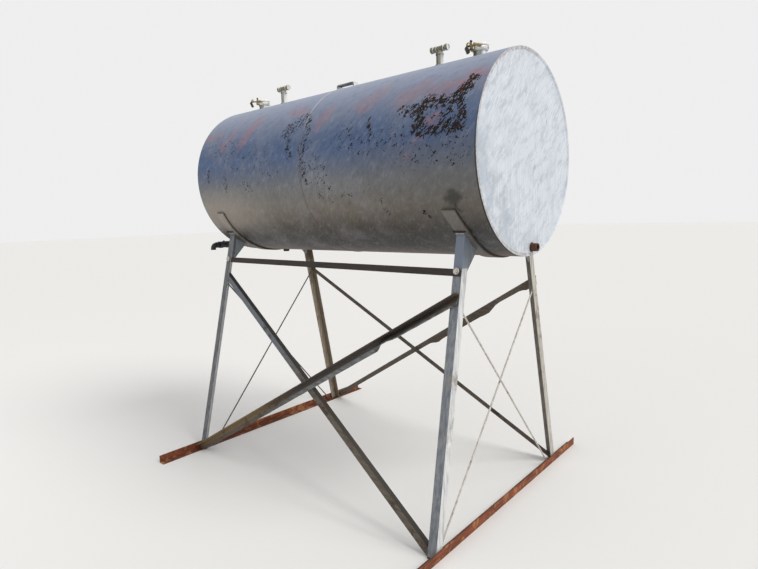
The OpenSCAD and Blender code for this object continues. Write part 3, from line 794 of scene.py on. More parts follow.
@dataclass(frozen=True)
class WornSteel:
    """Steel section with a coat of its own colour, stained and worn through.

    The tones after relief, where given, lie on the faces that look aside, up, back and down, and
    on the far end of a long section. The aside, back and down tones are painted shade, and the band
    under an edge a painted shadow.
    """

    name: str
    coat: str
    dull: str
    stain: str
    stained: Speckle
    spots: Speckle
    rough: float = 0.6
    metal: float = 0.1
    drawn: Axis = Axis.Z
    relief: float = 0.0006
    side: str = ""
    top: str = ""
    back: str = ""
    foot: str = ""
    below: str = ""
    under: PaintedShadow | None = None
    streaks: Grain = Grain(70.0, 4.0, 0.65)
    pits: Grain = Grain(260.0)
    spot_tone: str = "2B1C14"

    def build(self) -> Material:
        """Makes the material.

        Returns:
            The material.
        """
        graph = Graph(self.name)
        squeeze = [1.0, 1.0, 1.0]
        squeeze[self.drawn.value] = 0.12
        streaks = self.streaks.draw(graph, graph.stretch(graph.place, tuple(squeeze)))
        graph.tone = shade(self.coat)
        graph.over(graph.ease(streaks, 0.35, 0.68), self.dull)
        along, across, up = graph.facing()
        # Faces that look aside get a darker, streaked tone: painted shade.
        if self.side:
            weathered = graph.blend(graph.ease(streaks, 0.35, 0.65, 0.35), shade(self.side), shade(self.dull))
            graph.over(graph.ease(graph.sum("ABSOLUTE", across), 0.5, 0.8), weathered)
        # Faces that look back, towards -X, get a darker tone: painted shade.
        if self.back:
            Wash(0.30, -0.25, 1.0, self.back).lay(graph, along)
        if self.foot:
            Wash(0.10, -0.45, 0.75, self.foot).lay(graph, graph.split(graph.place)[0])
        # A dark band below an edge: painted shadow.
        if self.under:
            self.under.lay(graph, streaks)
        # Upward faces get their own tone; on the rail and the lug it is painted light.
        if self.top:
            Wash(0.35, 0.6, 0.92, self.top).lay(graph, up)
        # Undersides get a darker tone: painted shade.
        if self.below:
            Wash(-0.35, -0.6, 0.92, self.below).lay(graph, up)
        cloud = graph.noise(graph.place, self.stained.scale, 6.0, 0.68)
        soft_edge = self.stained.threshold + 5 * self.stained.edge
        stained = graph.ease(cloud, self.stained.threshold, soft_edge)
        graph.over(graph.times(stained, 0.8), self.stain)
        fine = graph.noise(graph.place, self.spots.scale, 3.0, 0.6)
        full_spots = self.spots.threshold + self.spots.edge
        Wash(self.spots.threshold, full_spots, 1.0, self.spot_tone).lay(graph, fine)
        pitted = self.pits.draw(graph, graph.place)
        normal = graph.relief(pitted, self.relief, 0.5, graph.relief(stained, 0.0004, 0.5))
        rough = graph.sum("ADD", self.rough, graph.times(stained, 0.2), clamp=True)
        graph.finish(rough, self.metal, normal)
        return graph.material


@dataclass(frozen=True)
class CameraPlace:
    """Where the photograph was taken from, and the frame that it fills."""

    place: Spot = (2.4871, -2.6841, 1.6938)
    heading: float = 131.22
    pitch: float = -7.42
    roll: float = -1.63
    focal_pixels: float = 536.0
    width_pixels: float = 758.0
    sensor: float = 36.0

    def build(self) -> None:
        """Makes the scene's camera."""
        data = bpy.data.cameras.new("view")
        data.sensor_width = self.sensor
        data.lens = self.focal_pixels / self.width_pixels * self.sensor
        data.clip_start = 0.05
        data.clip_end = 100.0
        camera = bpy.data.objects.new("view", data)
        bpy.context.scene.collection.objects.link(camera)
        turn = (
            Matrix.Rotation(math.radians(self.heading - 90.0), 4, "Z")
            @ Matrix.Rotation(math.radians(90.0 + self.pitch), 4, "X")
            @ Matrix.Rotation(math.radians(self.roll), 4, "Z")
        )
        camera.matrix_world = Matrix.Translation(self.place) @ turn
        bpy.context.scene.camera = camera


@dataclass(frozen=True)
class Lamp:
    """A soft lamp aimed at the tank, either a square box or one as far off as daylight."""

    name: str
    place: Spot
    power: float
    tint: Spot
    size: float = 0.0
    spread: float = 0.0

    def build(self, aim: Vector) -> None:
        """Hangs the lamp.

        Args:
            aim: The point that it faces.
        """
        data = bpy.data.lights.new(self.name, "SUN" if self.spread else "AREA")
        if self.spread:
            data.angle = math.radians(self.spread)
        else:
            data.shape = "SQUARE"
            data.size = self.size
        data.energy = self.power
        data.color = self.tint
        lamp = bpy.data.objects.new(self.name, data)
        bpy.context.scene.collection.objects.link(lamp)
        lamp.location = self.place
        lamp.rotation_mode = "QUATERNION"
        lamp.rotation_quaternion = (aim - Vector(self.place)).to_track_quat("-Z", "Y")


@dataclass(frozen=True)
class Studio:
    """Pale floor, white surroundings and soft lamps."""

    floor_size: float = 120.0
    sky_level: float = 0.62
    backdrop_level: float = 0.86
    lamps: tuple[Lamp, ...] = (
        Lamp("key", (7.0, 1.4, 9.0), 1.7, (1.0, 0.985, 0.96), spread=32.0),
        Lamp("fill", (-1.5, -7.0, 4.0), 60.0, (0.94, 0.97, 1.0), size=5.0),
    )

    def floor(self) -> None:
        """Lays the floor."""
        bpy.ops.mesh.primitive_plane_add(size=self.floor_size, location=(0.0, 0.0, 0.0))
        plane = bpy.context.object
        plane.name = "floor"
        graph = Graph("floor")
        graph.tone = shade("E9E8E6")
        graph.finish(0.9, 0.0, None)
        plane.data.materials.append(graph.material)

    def sky(self) -> None:
        """Makes the surroundings, white to the eye and to reflections, and dimmer as light."""
        world = bpy.data.worlds.new("surroundings")
        world.use_nodes = True
        bpy.context.scene.world = world
        tree = world.node_tree
        back = tree.nodes["Background"]
        back.inputs["Color"].default_value = (1.0, 1.0, 1.0, 1.0)
        path = tree.nodes.new("ShaderNodeLightPath")
        seen = tree.nodes.new("ShaderNodeMath")
        seen.operation = "MAXIMUM"
        tree.links.new(path.outputs["Is Camera Ray"], seen.inputs[0])
        tree.links.new(path.outputs["Is Glossy Ray"], seen.inputs[1])
        level = tree.nodes.new("ShaderNodeMapRange")
        level.inputs["To Min"].default_value = self.sky_level
        level.inputs["To Max"].default_value = self.backdrop_level
        tree.links.new(seen.outputs[0], level.inputs["Value"])
        tree.links.new(level.outputs["Result"], back.inputs["Strength"])

    def build(self, aim: Vector) -> None:
        """Sets up floor, surroundings, lamps and view transform.

        Args:
            aim: The point that the lamps face.
        """
        self.floor()
        self.sky()
        for lamp in self.lamps:
            lamp.build(aim)
        bpy.context.scene.view_settings.view_transform = "Standard"


LIGHT_STAIN = Speckle(5.0, 0.62)
OLD_STAIN = Speckle(7.0, 0.56)
FINE_SPOTS = Speckle(150.0, 0.70)
BRACE_SPOTS = Speckle(120.0, 0.66)
DARK_TOP = "332D27"

STEELS = {
    # Legs: the darker tone on faces that look aside is painted shade; on the near-left leg the band below 1.6
    # m is a painted shadow of the tank.
    "leg": WornSteel(
        "leg_paint", "DCDDDC", "B2B4B6", "8C857C", Speckle(5.0, 0.57), FINE_SPOTS, 0.5, side="62676E",
        under=PaintedShadow((-1.0, 1.600), (1.0, 1.600), 0.188, "6B7585", "6B7585"),
    ),
    "far_leg": WornSteel(
        "shaded_leg_paint", "BEBFC0", "9A9B9C", "756C62", OLD_STAIN, FINE_SPOTS, 0.5, side="484B50",
    ),
    "old_leg": WornSteel(
        "worn_leg_paint", "C6C2B9", "9C978E", "776B5D", OLD_STAIN, FINE_SPOTS, 0.55, side="5A544D",
    ),
    "bare_leg": WornSteel(
        "bare_leg", "A79C8C", "857866", "5F5141", Speckle(7.0, 0.50), FINE_SPOTS, side="6E6250",
    ),
    # Gussets: the stand's paint, darker as painted shadow of the tank.
    "plate": WornSteel("shadowed_gusset_paint", "848A92", "71767D", "6A6058", LIGHT_STAIN, FINE_SPOTS, 0.5, 0.2),
    "skid": WornSteel(
        "rust_red", "8A4829", "55301F", "AE7850", Speckle(12.0, 0.50), Speckle(90.0, 0.64), 0.85, 0.0,
        Axis.Y, 0.0012, top="5A3324",
    ),
    "brace": WornSteel(
        "weathered", "6A6054", "4E463C", "3E3127", Speckle(6.0, 0.54), BRACE_SPOTS, 0.65, 0.1, Axis.X,
        top=DARK_TOP, foot="67717D",
    ),
    "dark_brace": WornSteel(
        "dark_web", "5A4F43", "3E352C", "2E241B", Speckle(6.0, 0.56), BRACE_SPOTS, 0.65, 0.1, Axis.X,
        top=DARK_TOP,
    ),
    # The dark band under the brace's upper edge is a painted shadow of its outward flange.
    "outer_brace": WornSteel(
        "weathered_web", "7C8084", "5E5C58", "4A3D31", Speckle(6.0, 0.52), BRACE_SPOTS, 0.6, 0.1, Axis.X,
        top=DARK_TOP, foot="4C3F30", under=PaintedShadow(FAR_FOOT, NEAR_TOP, 0.024, "382F27", "7E6A49"),
    ),
    "dull_rod": WornSteel(
        "dull_rod", "6E6962", "4E4942", "5A4232", Speckle(9.0, 0.58), Speckle(120.0, 0.68), 0.6, 0.2,
    ),
    # Upper faces lighter than the dark rail: painted sky light.
    "rail": WornSteel(
        "dark_steel", "342C28", "26201D", "4A382C", Speckle(9.0, 0.58), Speckle(120.0, 0.70), 0.75, 0.05,
        Axis.X, top="726E68",
    ),
    "weld": WornSteel(
        "rusty_weld", "2C2320", "201A18", "4A3226", Speckle(40.0, 0.52), Speckle(200.0, 0.66), 0.8, 0.05,
    ),
    "painted_weld": WornSteel(
        "painted_weld", "A9AAAA", "8A8A88", "6A5E52", Speckle(40.0, 0.56), Speckle(200.0, 0.68), 0.55,
    ),
    "dull_weld": WornSteel(
        "dull_weld", "6E6A64", "56524C", "3F352D", Speckle(40.0, 0.54), Speckle(200.0, 0.66),
    ),
    # White cap whose back faces turn olive: painted shade.
    "cap": WornSteel(
        "white_cap", "F6F6F3", "E4E3DD", "8F8468", Speckle(30.0, 0.66), Speckle(180.0, 0.70), 0.42,
        back="8E8462",
    ),
    "hasp": WornSteel(
        "brassy_hasp", "A08C58", "7C6A42", "4A3B28", Speckle(50.0, 0.50), Speckle(220.0, 0.64), 0.4, 0.5,
    ),
    "lock": WornSteel(
        "dark_lock", "37332C", "25221E", "5C5238", Speckle(60.0, 0.54), Speckle(220.0, 0.68), 0.4, 0.3,
    ),
    # Side and back faces darker: painted shade.
    "tee": WornSteel(
        "galvanised_tee", "F2F1EA", "C9C6B8", "6B6650", Speckle(26.0, 0.58), Speckle(160.0, 0.66), 0.45,
        side="7F7C66", back="4A4735",
    ),
    # Lug: bright ends with darker sides, top and underside, painted light and shade.
    "lug": WornSteel(
        "lug_paint", "F2F2F0", "DADAD6", "8A8478", Speckle(20.0, 0.64), Speckle(160.0, 0.70), 0.5, 0.15,
        side="454D5A", top="A9AEB6", below="3C434E",
    ),
    "bolt": WornSteel(
        "zinc_bolt", "D6D3CB", "A8A294", "5E4B39", Speckle(60.0, 0.54), Speckle(220.0, 0.66), 0.45, 0.3,
    ),
    "rod": WornSteel(
        "bare_rod", "CFCAC1", "A8A298", "6F4E38", Speckle(9.0, 0.58), Speckle(120.0, 0.68), 0.6, 0.2,
    ),
    # Side and back faces darker: painted shade.
    "fitting": WornSteel(
        "zinc", "F4F4F1", "DAD9D2", "6E624A", Speckle(20.0, 0.64), Speckle(160.0, 0.68), 0.5,
        side="8B897E", back="55523F",
    ),
    "black": WornSteel(
        "black_iron", "1B1E22", "121416", "2E2A27", Speckle(16.0, 0.60), Speckle(160.0, 0.74), 0.5, 0.0,
    ),
    "rusty": WornSteel(
        "rusty_iron", "5A3B2A", "3C281E", "80543A", Speckle(30.0, 0.54), Speckle(150.0, 0.66), 0.85, 0.0,
    ),
}

WORN_BY = {
    "shell": ("shell_",),
    "saddle": ("saddle_",),
    "seam": ("girth_weld",),
    "lug": ("lifting_lug",),
    "head": ("head_", "rim_weld_"),
    "leg": ("leg_near_left",),
    "far_leg": ("leg_far_left",),
    "old_leg": ("leg_near_right",),
    "bare_leg": ("leg_far_right",),
    "plate": ("gusset_",),
    "skid": ("skid_",),
    "brace": ("brace_left",),
    "dark_brace": ("brace_right",),
    "rail": ("side_rail",),
    "rod": ("rod_near",),
    "dull_rod": ("rod_far",),
    "fitting": ("fill_neck", "vent_riser"),
    "cap": ("fill_body", "fill_lid"),
    "tee": ("vent_tee",),
    "black": ("outlet_",),
    "rusty": ("drain_coupling", "belly_plug"),
}


class Wardrobe:
    """The finishes, and the solids that wear them."""

    def __init__(self) -> None:
        """Makes every finish, the tank's own from the shell's place."""
        low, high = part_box("shell_near")
        far_low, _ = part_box("shell_far")
        radius, axis, middle = (high.z - low.z) / 2, (high.z + low.z) / 2, (high.x + far_low.x) / 2
        self.finishes = {name: steel.build() for name, steel in STEELS.items()}
        for name, lift in (("shell", 0.0), ("seam", 0.34), ("saddle", 0.02)):
            self.finishes[name] = ShellPaint(f"{name}_paint", radius, axis, middle, lift).build()
        self.finishes["head"] = HeadPaint("head_paint", "D3D9E1", axis).build()

    def dress(self, nodes: Pieces) -> None:
        """Gives every solid its finish.

        Args:
            nodes: The solids by name.
        """
        for finish, starts in WORN_BY.items():
            for name, solid in nodes.items():
                if name.startswith(starts):
                    solid.data.materials.clear()
                    solid.data.materials.append(self.finishes[finish])
                    LOG.info("%s wears %s", name, finish)


class Bench:
    """Starts pieces, picks parts of them in edit mode and hands them over finished."""

    finishes: ClassVar[Finishes] = {}

    @staticmethod
    def clear() -> None:
        """Leaves edit mode and deselects every object."""
        if bpy.context.mode != "OBJECT":
            bpy.ops.object.mode_set(mode="OBJECT")
        bpy.ops.object.select_all(action="DESELECT")

    @staticmethod
    def take(*pieces: Piece) -> None:
        """Selects these pieces alone.

        Args:
            *pieces: The pieces, of which the first becomes the active one.
        """
        Bench.clear()
        for piece in pieces:
            piece.select_set(True)
        bpy.context.view_layer.objects.active = pieces[0]

    @staticmethod
    def name(piece: Piece, name: str) -> Piece:
        """Names a piece and its mesh.

        Args:
            piece: The piece.
            name: The name.

        Returns:
            The piece.
        """
        piece.name = name
        piece.data.name = name
        return piece

    @staticmethod
    def open(name: str) -> Piece:
        """Names the active piece and opens it for shaping, all of it selected.

        Args:
            name: The piece's name.

        Returns:
            The piece.
        """
        piece = Bench.name(bpy.context.object, name)
        bpy.ops.object.mode_set(mode="EDIT")
        bpy.ops.mesh.select_mode(type="VERT")
        bpy.ops.mesh.select_all(action="SELECT")
        return piece

    @staticmethod
    def copy(piece: Piece, name: str) -> Piece:
        """Copies a piece with a mesh of its own.

        Args:
            piece: The piece.
            name: The copy's name.

        Returns:
            The copy.
        """
        copy = piece.copy()
        copy.data = piece.data.copy()
        bpy.context.scene.collection.objects.link(copy)
        return Bench.name(copy, name)

    @staticmethod
    def open_copy(solid: Piece, name: str) -> Piece:
        """Opens a merged and visible copy of a solid for shaping.

        Args:
            solid: The solid.
            name: The copy's name.

        Returns:
            The copy.
        """
        copy = Bench.copy(solid, name)
        copy.hide_set(False)
        copy.hide_render = False
        Bench.take(copy)
        Bench.open(name)
        bpy.ops.mesh.remove_doubles(threshold=MERGED)
        return copy

    @staticmethod
    def pick(piece: Piece, test: Callable[[Vector, Vector], bool]) -> None:
        """Selects the faces whose place and normal pass a test.

        Args:
            piece: The piece, open for shaping.
            test: Takes a place and a normal in the scene's frame.
        """
        bpy.ops.mesh.select_mode(type="FACE")
        bpy.ops.mesh.select_all(action="DESELECT")
        mesh = bmesh.from_edit_mesh(piece.data)
        place = piece.matrix_world
        turn = place.to_3x3()
        for face in mesh.faces:
            if test(place @ face.calc_center_median(), turn @ face.normal):
                face.select_set(True)
        mesh.select_flush_mode()
        bmesh.update_edit_mesh(piece.data)

    @staticmethod
    def shift(piece: Piece, move: Callable[[Vector], Vector]) -> None:
        """Moves every point of an open piece to where a rule puts it.

        Args:
            piece: The piece, open for shaping.
            move: Takes a place in the scene's frame and returns the new one.
        """
        mesh = bmesh.from_edit_mesh(piece.data)
        place = piece.matrix_world
        back = place.inverted()
        for point in mesh.verts:
            point.co = back @ move(place @ point.co)
        bmesh.update_edit_mesh(piece.data)

    @staticmethod
    def seal() -> None:
        """Merges doubled points of the open piece and turns its faces outwards."""
        bpy.ops.mesh.select_all(action="SELECT")
        bpy.ops.mesh.remove_doubles(threshold=MERGED)
        bpy.ops.mesh.normals_make_consistent(inside=False)

    @staticmethod
    def hand_over(piece: Piece, finish: str, slot: str, angle: float = 40.0) -> None:
        """Brings a piece to the origin, smooths and dresses it, and lets it ride on the tank.

        Args:
            piece: The piece.
            finish: Its finish's name.
            slot: Not used.
            angle: The edge angle in degrees up to which it is smooth.
        """
        Bench.take(piece)
        bpy.ops.object.transform_apply(location=True, rotation=True, scale=True)
        bpy.ops.object.shade_smooth_by_angle(angle=math.radians(angle))
        piece.data.materials.clear()
        piece.data.materials.append(Bench.finishes[finish])
        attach(piece, BODY)
        LOG.info("%s: %d faces", piece.name, len(piece.data.polygons))

    @staticmethod
    def assemble(
        name: str, shapes: Sequence["Shape"], finish: str, slot: str,
        move: Callable[[Vector], Vector] | None = None,
    ) -> Piece:
        """Builds shapes, joins them into one piece and hands it over.

        Args:
            name: The piece's name.
            shapes: Its shapes.
            finish: Its finish's name.
            slot: Not used; passed on to hand_over.
            move: A rule that moves its points, if any.

        Returns:
            The piece.
        """
        parts = [shape.build("part") for shape in shapes]
        Bench.take(*parts)
        if len(parts) > 1:
            bpy.ops.object.join()
        piece = Bench.name(bpy.context.object, name)
        if move:
            Bench.open(name)
            Bench.shift(piece, move)
        Bench.hand_over(piece, finish, slot)
        return piece


class Shape:
    """A mesh that starts as a primitive and is shaped in edit mode."""

    def start(self) -> None:
        """Adds the primitive."""
        raise NotImplementedError

    def work(self) -> None:
        """Shapes it, open and all selected."""
        raise NotImplementedError

    def build(self, name: str) -> Piece:
        """Makes the shape.

        Args:
            name: The mesh's name.

        Returns:
            The mesh's object.
        """
        Bench.clear()
        self.start()
        piece = Bench.open(name)
        self.work()
        bpy.ops.object.mode_set(mode="OBJECT")
        return piece

    @staticmethod
    def ring(place: Vector, facing: Vector, radius: float, sides: int, filled: bool = True) -> None:
        """Adds a ring of points as a start.

        Args:
            place: Its middle.
            facing: The direction that it looks in.
            radius: Its radius.
            sides: How many points it has.
            filled: Whether it is a face.
        """
        bpy.ops.mesh.primitive_circle_add(
            vertices=sides, radius=radius, fill_type="NGON" if filled else "NOTHING", location=place,
            rotation=facing.to_track_quat("Z", "Y").to_euler(),
        )

    @staticmethod
    def draw_on(step: Vector, size: float, place: Vector) -> None:
        """Extrudes the selected ring by a step and then sizes it about its new middle."""
        bpy.ops.mesh.extrude_region_move(TRANSFORM_OT_translate={"value": step})
        bpy.ops.transform.resize(value=(size, size, size), center_override=place)


@dataclass(frozen=True)
class StraightWeld(Shape):
    """A straight run of weld metal, laid in small overlapping ripples."""

    first: Spot
    last: Spot
    radius: float = 0.004
    pitch: float = 0.009
    swell: float = 1.3
    sides: int = 8

    @property
    def run(self) -> Vector:
        """The way from its first end to its last."""
        return Vector(self.last) - Vector(self.first)

    def start(self) -> None:
        """Adds the small round start."""
        self.ring(Vector(self.first), self.run, self.radius * 0.5, self.sides)

    def work(self) -> None:
        """Draws the run out of its start, thick and thin in turn."""
        halves = 2 * max(3, round(self.run.length / self.pitch))
        place, step = Vector(self.first), self.run / halves
        sizes = [self.swell if index % 2 == 0 else 1 / self.swell for index in range(halves)]
        sizes[0], sizes[-1] = 2.0, 0.5
        for size in sizes:
            place = place + step
            self.draw_on(step, size, place)
        Bench.seal()


@dataclass(frozen=True)
class RoundWeld(Shape):
    """A lumpy ring of weld metal round the tank's length or round an upright."""

    middle: Spot
    axis: Axis
    ring_radius: float
    radius: float = 0.004
    seed: int = 1
    lumps: float = 0.22
    density: float = 900.0

    def start(self) -> None:
        """Adds the ring."""
        turn = (0.0, math.pi / 2, 0.0) if self.axis is Axis.X else (0.0, 0.0, 0.0)
        around = max(24, round(self.ring_radius * self.density))
        bpy.ops.mesh.primitive_torus_add(
            location=self.middle, rotation=turn, major_segments=around, minor_segments=8,
            major_radius=self.ring_radius, minor_radius=self.radius,
        )

    def work(self) -> None:
        """Roughens it."""
        lumps = self.radius * self.lumps
        bpy.ops.transform.vertex_random(offset=lumps, uniform=0.2, normal=1.0, seed=self.seed)
        bpy.ops.mesh.normals_make_consistent(inside=False)


@dataclass(frozen=True)
class StrapWeld(Shape):
    """The weld along one edge of a saddle, on the shell from the saddle's end down to the belly."""

    x: float
    axis_height: float
    shell_radius: float
    first: float
    last: float
    radius: float = 0.003
    step: float = 0.012
    lumps: float = 0.25

    def start(self) -> None:
        """Adds a small round start at the saddle's end."""
        angle = math.radians(self.first)
        y, z = -self.shell_radius * math.sin(angle), self.axis_height - self.shell_radius * math.cos(angle)
        bpy.ops.mesh.primitive_circle_add(
            vertices=8, radius=self.radius, fill_type="NGON", location=(self.x, y, z),
            rotation=(math.pi / 2 + angle, 0.0, 0.0),
        )

    def work(self) -> None:
        """Spins it about the tank's axis and roughens it."""
        sweep = math.radians(self.last - self.first)
        bpy.ops.mesh.spin(
            steps=max(8, round(abs(sweep) * self.shell_radius / self.step)), angle=sweep,
            center=(self.x, 0.0, self.axis_height), axis=(1.0, 0.0, 0.0),
        )
        Bench.seal()
        bpy.ops.transform.vertex_random(offset=self.radius * self.lumps, uniform=0.2, normal=1.0, seed=3)


@dataclass(frozen=True)
class Turned(Shape):
    """A round piece drawn along its axis, ring by ring, from its profile.

    Its ends are closed, or, if it isn't capped, its last ring is joined to its first.
    """

    profile: tuple[Pair, ...]
    place: Spot
    axis: Axis = Axis.Z
    sides: int = 40
    capped: bool = True

    @property
    def way(self) -> Vector:
        """The direction that it is drawn in."""
        return Vector([float(index == self.axis.value) for index in range(3)])

    def start(self) -> None:
        """Adds the first ring."""
        along, radius = self.profile[0]
        self.ring(Vector(self.place) + self.way * along, self.way, radius, self.sides, self.capped)

    def work(self) -> None:
        """Extrudes the first ring through the profile."""
        spot = Vector(self.place) + self.way * self.profile[0][0]
        for (along, radius), (next_along, next_radius) in zip(self.profile, self.profile[1:]):
            step = self.way * (next_along - along)
            spot = spot + step
            self.draw_on(step, next_radius / radius, spot)
        Bench.seal()


@dataclass(frozen=True)
class Block(Shape):
    """A small block with rounded edges, tapered and tilted."""

    size: Spot
    place: Spot
    turn: float = 0.0
    tilt: float = 0.0
    round: float = 0.0015
    taper: float = 1.0

    def start(self) -> None:
        """Adds the block."""
        bpy.ops.mesh.primitive_cube_add(
            size=1.0, location=self.place, scale=self.size,
            rotation=(0.0, math.radians(self.tilt), math.radians(self.turn)),
        )

    def work(self) -> None:
        """Tapers it towards its top and rounds its edges."""
        block = bpy.context.object
        up = block.matrix_world.to_3x3() @ Vector((0.0, 0.0, 1.0))
        up.normalize()
        Bench.pick(block, lambda place, normal: normal.normalized().dot(up) > 0.9)
        top = Vector(self.place) + up * (self.size[2] / 2)
        bpy.ops.transform.resize(value=(self.taper, self.taper, self.taper), center_override=top)
        bpy.ops.mesh.select_all(action="SELECT")
        bpy.ops.mesh.bevel(offset=self.round, segments=2, affect="EDGES")
        Bench.seal()


@dataclass(frozen=True)
class HexBolt(Shape):
    """A hexagon bolt on a flat washer, at the origin with its head up."""

    across: float = 0.019
    head: float = 0.0075
    washer: float = 0.0180
    washer_thick: float = 0.0025
    washer_rim: float = 0.0008
    raised: float = 0.0005
    chamfer: float = 0.0012
    face_rim: float = 0.0020
    sunk: float = 0.0006

    def start(self) -> None:
        """Adds the washer."""
        middle = (0.0, 0.0, self.washer_thick / 2)
        bpy.ops.mesh.primitive_cylinder_add(
            vertices=32, radius=self.washer, depth=self.washer_thick, location=middle
        )

    def work(self) -> None:
        """Raises the washer's face, and adds the head, rounds its top and sinks its face."""
        bolt = bpy.context.object
        top = self.washer_thick + self.head
        Bench.pick(bolt, lambda place, normal: normal.z > 0.9)
        bpy.ops.mesh.inset(thickness=self.washer_rim)
        bpy.ops.transform.translate(value=(0.0, 0.0, self.raised))
        bpy.ops.mesh.select_all(action="DESELECT")
        bpy.ops.mesh.primitive_cylinder_add(
            vertices=6, radius=self.across / math.sqrt(3), depth=self.head,
            location=(0.0, 0.0, self.washer_thick + self.head / 2),
        )
        Bench.pick(bolt, lambda place, normal: normal.z > 0.9 and place.z > top - 0.0005)
        bpy.ops.mesh.bevel(offset=self.chamfer, segments=2, affect="EDGES")
        Bench.pick(bolt, lambda place, normal: normal.z > 0.99 and place.z > top - 0.0005)
        bpy.ops.mesh.inset(thickness=self.face_rim)
        bpy.ops.transform.translate(value=(0.0, 0.0, -self.sunk))


@dataclass(frozen=True)
class FillCap:
    """A cast cap with a rounded drum, and on its far side a brassy hasp, a stop and a hanging lock."""

    which: str
    x: float
    reach: float
    hasp_turn: float
    seat: float = 2.5572
    drum: float = 0.046
    lid: float = 0.0485
    top: float = 0.025
    sides: int = 48
    grips: int = 6

    def spot(self, out: float, aside: float, up: float) -> Spot:
        """Turns a place given from the cap's middle into the scene's frame.

        Args:
            out: How far it is towards the hasp.
            aside: How far it is to the side of that.
            up: How far it is over the seat.

        Returns:
            The place.
        """
        angle = math.radians(self.hasp_turn)
        x = self.x - out * math.cos(angle) - aside * math.sin(angle)
        y = -out * math.sin(angle) + aside * math.cos(angle)
        return (x, y, self.seat + up)

    def stack(self, radius: float, rings: Sequence[Pair]) -> Turned:
        """Turns rings, given by height and by how far they stay inside a radius, on the cap's axis."""
        profile = tuple((up, radius - inside) for up, inside in rings)
        return Turned(profile, (self.x, 0.0, self.seat), sides=self.sides)

    def body(self) -> list[Shape]:
        """Lays out the cap's body.

        Returns:
            The drum with its rounded lip and groove, and the grips round it.
        """
        top = self.top
        drum = self.stack(self.drum, (
            (0.0, 0.012), (0.0, 0.006), (0.0025, 0.0045), (0.0060, 0.0008), (0.0080, 0.0), (0.0125, 0.0),
            (0.0135, 0.0022), (0.0150, 0.0022), (0.0160, 0.0), (top - 0.0035, 0.0), (top - 0.0015, 0.0015),
            (top, 0.0040),
        ))
        grips = []
        for index in range(self.grips):
            degrees = 30.0 + 360.0 / self.grips * index
            angle = math.radians(degrees)
            place = self.spot(self.drum * math.cos(angle), self.drum * math.sin(angle), 0.0145)
            size = (0.0080, 0.0150, 0.0120)
            grips.append(Block(size, place, self.hasp_turn + degrees, round=0.0025, taper=0.8))
        return [drum, *grips]

    def cover(self) -> list[Shape]:
        """Lays out the cap's lid.

        Returns:
            The dome, its hinge and the knuckle that carries it.
        """
        top, lid = self.top, self.lid
        dome = self.stack(lid, (
            (top + 0.0002, 0.0040), (top + 0.0010, 0.0012), (top + 0.0030, 0.0), (top + 0.0090, 0.0),
            (top + 0.0120, 0.0022), (top + 0.0140, 0.0065), (top + 0.0155, 0.0150), (top + 0.0170, 0.0315),
            (top + 0.0180, 0.0425),
        ))
        pin = ((-0.014, 0.0045), (-0.0135, 0.0058), (0.0135, 0.0058), (0.014, 0.0045))
        hinge = Turned(pin, self.spot(0.0, lid + 0.0055, top + 0.0095), Axis.X, 20)
        knuckle = Block((0.026, 0.020, 0.008), self.spot(0.0, lid - 0.004, top + 0.0070), self.hasp_turn)
        return [dome, hinge, knuckle]

    def hasp(self) -> list[Shape]:
        """Lays out the hasp.

        Returns:
            The strap with its ear and eye, and the lever on the other side.
        """
        top, lid, reach, turn = self.top, self.lid, self.reach, self.hasp_turn
        strap = Block((reach - 0.030, 0.024, 0.006), self.spot((reach + 0.030) / 2, 0.0, top + 0.0065), turn)
        ear_place = self.spot(lid - 0.004, 0.0, top - 0.006)
        ear = Block((0.026, 0.030, 0.020), ear_place, turn, round=0.0030, taper=0.85)
        loop = ((-0.003, 0.0080), (-0.003, 0.0125), (0.003, 0.0125), (0.003, 0.0080), (-0.003, 0.0080))
        eye = Turned(loop, self.spot(reach - 0.012, 0.0, top + 0.012), Axis.Y, 24, capped=False)
        lever_place = self.spot(0.022, -lid - 0.0015, top - 0.001)
        lever = Block((0.058, 0.007, 0.014), lever_place, turn + 12.0, 8.0, round=0.0025, taper=0.9)
        return [strap, ear, eye, lever]

    def lock(self) -> list[Shape]:
        """Lays out the stop and the lock.

        Returns:
            The stop's post and knob, and the hanging lock.
        """
        top, out, turn = self.top, self.lid + 0.001, self.hasp_turn
        post = Block((0.010, 0.012, 0.030), self.spot(out, 0.0, top + 0.014), turn, taper=0.8)
        button = ((-0.0045, 0.0050), (-0.0030, 0.0070), (0.0030, 0.0070), (0.0045, 0.0050))
        knob = Turned(button, self.spot(out, 0.0, top + 0.030), Axis.Y, 24)
        hanging_place = self.spot(self.reach - 0.006, 0.0, top - 0.016)
        hanging = Block((0.017, 0.030, 0.036), hanging_place, turn, -22.0, 0.0035)
        return [post, knob, hanging]

    def build(self) -> None:
        """Builds the cap in place of its two solids."""
        body = Bench.assemble(f"{self.which}_cap_body", self.body(), "cap", "galvanised")
        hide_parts(f"fill_body_{self.which}")
        lid = Bench.assemble(f"{self.which}_cap_lid", self.cover(), "cap", "galvanised")
        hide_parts(f"fill_lid_{self.which}")
        Bench.assemble(f"{self.which}_cap_hasp", self.hasp(), "hasp", "galvanised")
        Bench.assemble(f"{self.which}_cap_lock", self.lock(), "lock", "black_iron")


